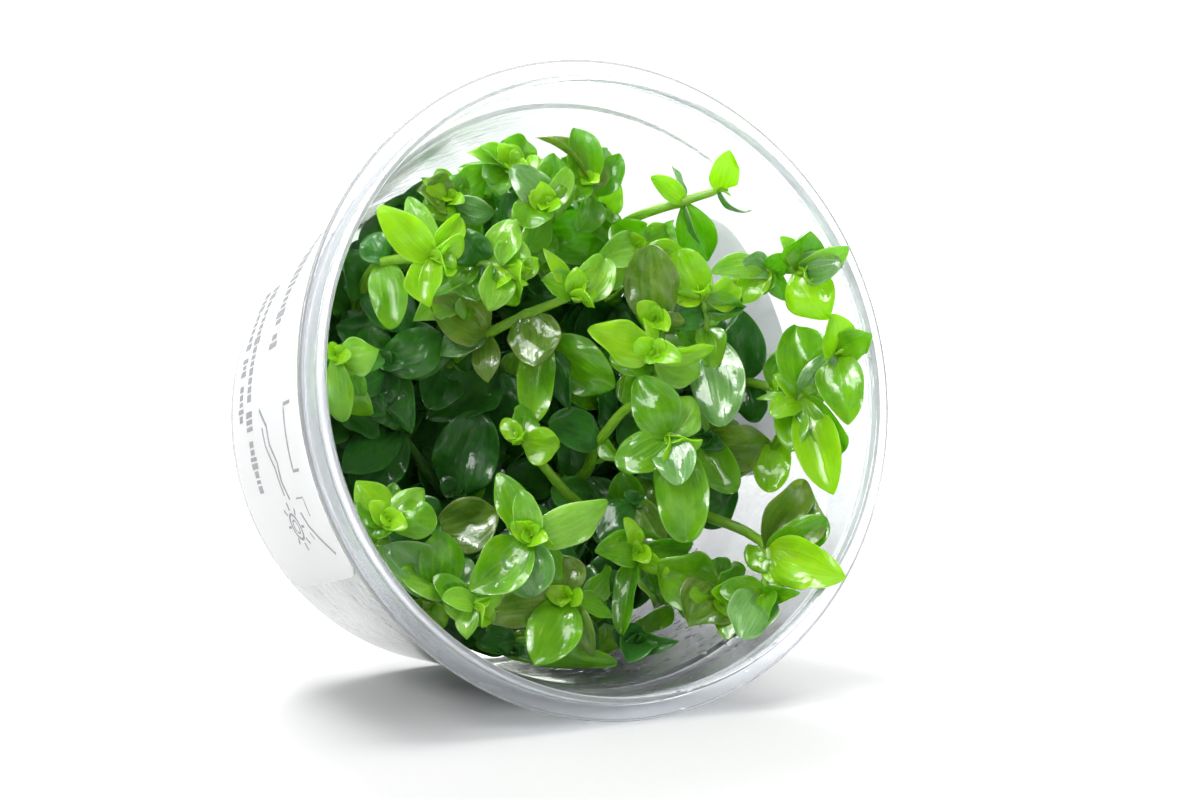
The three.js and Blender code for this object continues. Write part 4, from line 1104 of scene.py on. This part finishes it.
def share_of(label, text, default):
    """A setting from 0 to 1."""
    return float_of(label, text, default, max=1, subtype="FACTOR")


def power_of(label, text, default):
    """A lamp's power in watts."""
    return float_of(label, text, default, unit="POWER")


def count_of(label, text, default, least):
    """A setting that is a count."""
    return bpy.props.IntProperty(name=label, description=text, default=default, min=least)


def colour_of(label, text, default):
    """A colour setting."""
    return bpy.props.FloatVectorProperty(name=label, description=text, default=default, size=3,
                                         min=0, max=1, subtype="COLOR")


class CupSettings(bpy.types.PropertyGroup):
    """Sizes and colour of the clear cup, and the darker tints that paint shade on its corner,
    rim edge and underside.
    """
    wall: length_of("Wall", "Thickness of the moulded wall", 0.0008)
    segments: count_of("Segments", "Steps round the cup", 216, 36)
    plastic: colour_of("Plastic", "Tint of the clear plastic", (0.84, 0.86, 0.875))
    lip: colour_of("Lip", "Tint of the hazier mouth and lip", (0.86, 0.885, 0.915))
    # Painted shade: the wet tint darkens the wall's underside for the floor's shadow seen through
    # it
    wet: colour_of("Wet", "Tint where the underside is wet", (0.34, 0.346, 0.36))
    # Painted shade: the dark tint draws the grey line that the thick clear corner shows
    corner: colour_of("Base corner", "Tint of the thick base corner", (0.2, 0.205, 0.215))
    # Painted shade: the dark tint draws the thin grey line along the lip's outer edge
    edge: colour_of("Rim edge", "Tint of the lip's outer edge", (0.4, 0.405, 0.42))
    roughness: share_of("Haze", "How hazy the plastic is", 0.1)


class LabelSettings(bpy.types.PropertyGroup):
    """Film and ink of the labels."""
    thick: length_of("Film", "Thickness of the label film", 0.00012)
    film: colour_of("Film colour", "Colour of the label", (0.97, 0.972, 0.975))
    ink: colour_of("Ink colour", "Colour of the printed marks", (0.2, 0.21, 0.22))


class GelSettings(bpy.types.PropertyGroup):
    """The growing gel."""
    tint: colour_of("Tint", "Colour of the gel", (0.86, 0.91, 0.8))
    roughness: share_of("Cloudiness", "How cloudy the gel is", 0.12)


class ShootSettings(bpy.types.PropertyGroup):
    """Sizes, fineness and stem colours of the plants."""
    thick: length_of("Leaf thickness", "Thickness of a leaf at its middle", 0.0004)
    bud: length_of("Bud", "Length of the outer young leaves at a shoot's tip", 0.0052)
    spacing: length_of("Node spacing", "Distance between pairs on the hidden stems", 0.006)
    rows: count_of("Leaf rows", "Rings along a leaf", 24, 8)
    ring: count_of("Leaf ring", "Points round a leaf", 22, 8)
    foot: count_of("Foot leaves", "Old leaves round a stem's foot", 10, 0)
    fuller: share_of("Fuller leaves", "Extra width of every leaf", 0.17)


class StageSettings(bpy.types.PropertyGroup):
    """Floor, room light and lamps."""
    floor: colour_of("Floor", "Colour of the floor", (0.5, 0.5, 0.502))
    room: float_of("Room light", "Strength of the even light", 0.65)
    mirror: float_of("Mirrored room", "Room light in reflections", 0.08)
    behind: float_of("Mirrored backdrop", "Light behind the cup in reflections", 0.8)
    through: float_of("Room through plastic", "Light at both ends, seen through the plastic", 1.42)
    beside: float_of("Room beside", "Light beside the cup, seen through the plastic", 0.3)
    back: power_of("Back lamp", "Power of the lamp behind", 10)
    top: power_of("Top lamp", "Power of the lamp above", 7)
    front: power_of("Front lamp", "Power of the lamp in front", 3.6)
    sheen: power_of("Sheen panel", "Power of the panel that only shows in reflections", 22)


# Operators
class BACOPA_OT_cup(bpy.types.Operator):
    """Turns the clear cup from its profile"""
    bl_idname = "bacopa.cup"
    bl_label = "Cup"

    def execute(self, context):
        s = context.scene.bacopa_cup
        wall = s.wall * PER_METRE
        top = SHOULDER_HEIGHT + SHOULDER_RISE
        step = SHOULDER_RADIUS + SHOULDER_STEP
        foot = float(wall_radius(0))
        outline = rounded([
            (0, BASE_RISE, 0), (BASE_RING, BASE_RISE, 0.6), (BASE_RING + 1, 0, 0.5), (foot, 0, 1.8),
            (SHOULDER_RADIUS, SHOULDER_HEIGHT, 0.5), (step, top, 0.5), (NECK_RADIUS, RIM_BACK, 0.3),
            (RIM_RADIUS, RIM_BACK, 0.3), (RIM_RADIUS, RIM_FRONT, 0.3),
            (RIM_RADIUS - RIM_EDGE, RIM_FRONT, 0), (COLLAR_RADIUS, RIM_FRONT, 0.35),
            (COLLAR_RADIUS, MOUTH_HEIGHT, 0.4), (MOUTH_RADIUS, MOUTH_HEIGHT, 0.4),
            (MOUTH_RADIUS - 0.1, RIM_FRONT, 0.6), (step - wall, top + wall / 2, 0.5),
            (SHOULDER_RADIUS - wall, SHOULDER_HEIGHT + wall / 2, 0.5), (foot - wall, wall, 1.2),
            (BASE_RING + 1.4, wall, 0.5), (BASE_RING + 0.2, wall + BASE_RISE, 0.5),
            (0, wall + BASE_RISE, 0)])
        points, faces = revolved(outline, s.segments)
        looks = [clear_plastic(name, tint[:], haze * s.roughness, PLASTIC_IOR, clear,
                               moulding_height, wet)
                 for name, tint, haze, clear, wet in (
                     # the corner and rim-edge finishes take darker tints: painted shade lines on
                     # the clear plastic
                     ("shaded_base_corner", s.corner, 1, 0.9, None),
                     # the wall's wet tint is painted shade, low on the lying cup
                     ("clear_wall", s.plastic, 1, 0.9, s.wet[:]),
                     ("clear_flange", s.lip, 0.2, 0.9, None),
                     ("hazy_lip", s.lip, 0.8, 0.77, None),
                     ("shaded_rim_edge", s.edge, 1, 0.6, None))]
        cup = smooth_piece("clear_cup", points, faces, looks, sharp=50)
        middles = np.array([points[list(face)].mean(axis=0) for face in faces])
        height = middles[:, 2]
        reach = np.hypot(middles[:, 0], middles[:, 1])
        finish = np.digitize(height, [0, RIM_BACK - 1, RIM_FRONT + 0.1])
        # Faces of the thick base corner get the darker tint: painted shade
        finish[(height < BASE_CORNER + 1.4) & (reach > BASE_RADIUS - 2.6)] = 0
        # Faces of the rim's outer edge get the darker tint: painted shade
        finish[(height > RIM_FRONT - 0.3) & (reach > RIM_RADIUS - RIM_EDGE - 0.02)] = len(looks) - 1
        cup.data.polygons.foreach_set("material_index", finish.tolist())
        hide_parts("cup")
        return {"FINISHED"}


class BACOPA_OT_gel(bpy.types.Operator):
    """Fills the cup's bottom with the growing gel"""
    bl_idname = "bacopa.gel"
    bl_label = "Gel"

    def execute(self, context):
        s = context.scene.bacopa_gel
        reach = float(inner_radius(GEL_TOP)) - 0.3
        outline = rounded([
            (0, GEL_UNDER, 0), (GEL_FOOT, GEL_UNDER, 1.2), (reach, GEL_TOP + 0.5, 0.3),
            (reach - 1.4, GEL_TOP, 1.2), (0, GEL_TOP - 0.1, 0)])
        material = clear_plastic("growing_gel", s.tint[:], s.roughness, GEL_IOR, 0.94, gel_height)
        gel = smooth_piece("growing_gel", *revolved(outline, GEL_STEPS), [material], sharp=50)
        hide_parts("gel")
        return {"FINISHED"}


def text_bars(start, end, z, tall, chance):
    """A line of plain upright bars, as long words look from afar, their widths and gaps drawn in
    degrees."""
    bars = []
    turn = start
    while turn < end:
        wide = chance.uniform(0.8, 1.7)
        bars.append(([(turn, z), (turn + wide, z)], tall * chance.choice([0.6, 0.62, 0.95])))
        turn += wide + chance.choice([0.5, 0.6, 2.2], p=[0.5, 0.38, 0.12])
    return bars


def ring_path(turn, z, radius, count=20):
    """A circle's places on the wall."""
    angle = np.linspace(0, 2 * np.pi, count)
    degrees = np.degrees(radius / float(wall_radius(z)))
    return list(zip(turn + degrees * np.cos(angle), z + radius * np.sin(angle)))


def front_marks():
    """The front label's generic marks: lines of bars, a bracket, a curved line and a ringed sun.
    Each is a path of turns and heights and a width in millimetres."""
    chance = np.random.default_rng(7)
    marks = []
    for line in ((146, 176, 9, 3), (146, 192, 13.8, 3.5), (136, 166, 25.5, 4.6)):
        marks += text_bars(*line, chance)
    sun = (202, 25)
    marks += [([(177, 37.5), (177, 34), (190.5, 34), (190.5, 37)], 0.55),
              ([(176, 20), (180, 23.6), (184, 24.2), (188, 26.5), (192, 26.2), (196, 27.5)], 0.6),
              ([(180, 21), (184, 21.8), (189, 24.6), (195, 25.4)], 0.5),
              (ring_path(*sun, 2.1), 0.5), (ring_path(*sun, 1.1), 0.3)]
    degree = math.degrees(1 / float(wall_radius(sun[1])))
    for way in np.arange(8) * math.pi / 4:
        ends = [(sun[0] + degree * r * math.cos(way), sun[1] + r * math.sin(way)) for r in (2.7, 4)]
        marks.append((ends, 0.45))
    marks += [([(199, 30.5), (202, 31.5), (205, 34), (208.5, 37.5)], 0.6),
              ([(196, 31), (196, 34.5), (200, 34.5)], 0.3), ([(203.5, 30.5), (205, 31.2)], 0.3)]
    return marks


class BACOPA_OT_labels(bpy.types.Operator):
    """Wraps both labels on the wall and prints the front one's marks"""
    bl_idname = "bacopa.labels"
    bl_label = "Labels"

    def execute(self, context):
        s = context.scene.bacopa_label
        thick = s.thick * PER_METRE
        film = label_material(s.film[:])
        for name, node_name, place, slant in (
                ("front_film", "front_label", FRONT_LABEL, LABEL_SLANT),
                ("back_film", "back_label", BACK_LABEL, 0)):
            piece = smooth_piece(name, *label_sheet(place, thick, slant), [film], sharp=40)
            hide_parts(node_name)
        points, faces, start = [], [], 0
        for path, wide in front_marks():
            rings = bar_on_wall(path, wide, LABEL_GAP + thick + BAR_GAP)
            points.append(capped(rings))
            faces += closed_grid(len(rings), 4, start)
            start += len(points[-1])
        ink = ink_material(s.ink[:])
        marks = smooth_piece("label_marks", np.concatenate(points), faces, [ink], sharp=30)
        return {"FINISHED"}


class BACOPA_OT_shoots(bpy.types.Operator):
    """Grows every shoot with its stem, leaves and bud"""
    bl_idname = "bacopa.shoots"
    bl_label = "Shoots"

    def execute(self, context):
        s = context.scene.bacopa_shoot
        shape = {"rows": s.rows, "ring": s.ring, "foot": s.foot, "fuller": s.fuller,
                 "thick": s.thick * PER_METRE, "spacing": s.spacing * PER_METRE,
                 "bud": s.bud * PER_METRE}
        pattern = leaf_pattern_group()
        materials = {tone: leaf_material("leaf_" + tone, LEAF_LOOKS[tone], pattern)
                     for tone in TONES}
        # The darker stem colour is painted shade for shoots deep in the cup
        for key, colour, other in (("stem", (0.16, 0.43, 0.01), (0.36, 0.63, 0.04)),
                                   ("shaded_stem", (0.035, 0.13, 0.015), (0.09, 0.25, 0.035))):
            materials[key] = stem_material(key + "_skin", colour, other)
        for index, each in enumerate(SHOOTS):
            blades = shoot_blades(index, each, shape)
            plant = blades_piece(each["name"].replace("shoot", "leafy"), blades, materials)
            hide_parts(each["name"])
        return {"FINISHED"}


def room_level(tree, s, direction):
    """How bright the room is in a direction: overexposed white where it is seen; through the
    plastic, white at both ends and darker beside the cup; in reflections, brighter behind the
    cup than elsewhere; and the room light's own strength for all else."""
    away = add(tree, "VectorMath", {0: direction}, operation="NORMALIZE").outputs[0]
    behind = add(tree, "VectorMath", {0: away, 1: FORWARD.tolist()},
                 operation="DOT_PRODUCT").outputs["Value"]
    path = add(tree, "LightPath").outputs
    through = path["Is Transmission Ray"]
    glossy = maths(tree, "SUBTRACT", path["Is Glossy Ray"], through, clamp=True)
    level = plus(tree, path["Is Camera Ray"], SEEN_WHITE - s.room, s.room)
    for kind, place, beside, back in (
            (through, maths(tree, "ABSOLUTE", behind), s.beside, s.through),
            (glossy, behind, s.mirror, s.behind)):
        share = ramp(tree, place, (0.05, 0), (0.6, 1), ease="EASE")
        level = plus(tree, kind, plus(tree, share, back - beside, beside - s.room), level)
    return level


class BACOPA_OT_stage(bpy.types.Operator):
    """Sets the floor, the room light, the lamps and the camera"""
    bl_idname = "bacopa.stage"
    bl_label = "Stage"

    def execute(self, context):
        s = context.scene.bacopa_stage
        scene = context.scene
        self.add_floor(s)
        self.add_room(scene, s)
        self.add_lamp("back_lamp", (0.35, 0.75, 0.75), 0.5, s.back)
        self.add_lamp("top_lamp", (-0.15, 0.12, 0.95), 0.34, s.top)
        self.add_lamp("front_lamp", (-0.62, -0.4, 0.62), 0.24, s.front)
        sheen = self.add_lamp("sheen_lamp", (-0.62, -0.62, 0.85), 0.85, s.sheen)
        sheen.visible_diffuse = False
        sheen.visible_transmission = False
        self.add_camera(scene)
        scene.view_settings.view_transform = "Standard"
        scene.view_settings.look = "None"
        scene.view_settings.exposure = EXPOSURE
        return {"FINISHED"}

    def add_floor(self, s):
        """A wide white floor that fades into the room's own white."""
        mesh = bpy.data.meshes.new("floor")
        corners = [(x, y, 0) for x, y in ((-1, -1), (1, -1), (1, 1), (-1, 1))]
        mesh.from_pydata((FLOOR_REACH * np.array(corners)).tolist(), [], [(0, 1, 2, 3)])
        material, tree, shader, output = new_material("floor_white")
        coords = places(tree)
        grain = times(tree, noise(tree, coords, 30, 3), 0.03)
        feed(tree, shader, {"Base Color": blended(tree, grain, s.floor[:], (0.45, 0.45, 0.45)),
                            "Roughness": 0.6, "Specular IOR Level": 0.2})
        away = add(tree, "VectorMath", {0: coords}, operation="LENGTH").outputs["Value"]
        glow = add(tree, "Emission", {"Strength": room_level(tree, s, coords)})
        partly(tree, output, ramp(tree, away, (0.16, 0), (0.42, 1), ease="EASE"), shader, glow)
        mesh.materials.append(material)
        floor = bpy.data.objects.new("floor", mesh)
        bpy.context.scene.collection.objects.link(floor)

    def add_room(self, scene, s):
        """Even white light: pure white where it is seen, also through the cup, and darker in
        reflections, as in a studio with dark walls."""
        world = bpy.data.worlds.new("room")
        scene.world = world
        world.use_nodes = True
        tree = world.node_tree
        tree.nodes.clear()
        level = room_level(tree, s, add(tree, "TexCoord").outputs["Generated"])
        light = add(tree, "Background", {"Color": (1, 1, 1), "Strength": level})
        add(tree, "OutputWorld", {"Surface": light.outputs["Background"]})

    def add_lamp(self, name, place, size, power):
        """A square soft lamp that faces the cup."""
        lamp = bpy.data.lights.new(name, "AREA")
        lamp.energy = power
        lamp.size = size
        holder = bpy.data.objects.new(name, lamp)
        holder.location = place
        holder.rotation_euler = (Vector(place) - CUP_MIDDLE).to_track_quat("Z", "Y").to_euler()
        bpy.context.scene.collection.objects.link(holder)
        return holder

    def add_camera(self, scene):
        """The photograph's camera: its axes are the view's right, up and back."""
        camera = bpy.data.cameras.new("view")
        camera.sensor_width = SENSOR_WIDTH
        camera.lens = VIEW_FOCAL * SENSOR_WIDTH / FRAME_WIDTH
        camera.clip_end = 5 * FLOOR_REACH
        holder = bpy.data.objects.new("view", camera)
        turn = Matrix(np.stack([RIGHTWARD, UPWARD, -FORWARD], axis=1).tolist())
        holder.matrix_world = Matrix.Translation(Vector(EYE / PER_METRE)) @ turn.to_4x4()
        scene.collection.objects.link(holder)
        scene.camera = holder


SETTINGS = {"bacopa_cup": CupSettings, "bacopa_label": LabelSettings, "bacopa_gel": GelSettings,
            "bacopa_shoot": ShootSettings, "bacopa_stage": StageSettings}
OPERATORS = (BACOPA_OT_cup, BACOPA_OT_labels, BACOPA_OT_gel, BACOPA_OT_shoots, BACOPA_OT_stage)


class BACOPA_PT_panel(bpy.types.Panel):
    """Lists the pieces and their settings"""
    bl_idname = "BACOPA_PT_panel"
    bl_label = "Lemon bacopa cup"
    bl_space_type = "VIEW_3D"
    bl_region_type = "UI"
    bl_category = "Bacopa"

    def draw(self, context):
        for key, operator in zip(SETTINGS, OPERATORS):
            box = self.layout.box()
            group = getattr(context.scene, key)
            for name in group.__annotations__:
                box.prop(group, name)
            box.operator(operator.bl_idname)


def register():
    """Makes the settings, operators and panel known."""
    for each in (*SETTINGS.values(), *OPERATORS, BACOPA_PT_panel):
        bpy.utils.register_class(each)
    for key, group in SETTINGS.items():
        setattr(bpy.types.Scene, key, bpy.props.PointerProperty(type=group))


def unregister():
    """Takes them away again."""
    for key in SETTINGS:
        delattr(bpy.types.Scene, key)
    for each in reversed((*SETTINGS.values(), *OPERATORS, BACOPA_PT_panel)):
        bpy.utils.unregister_class(each)


def main():
    """Builds the stage and the pieces."""
    register()
    for build in (bpy.ops.bacopa.stage, bpy.ops.bacopa.cup, bpy.ops.bacopa.labels,
                  bpy.ops.bacopa.gel, bpy.ops.bacopa.shoots):
        build()


if __name__ == "__main__":
    main()
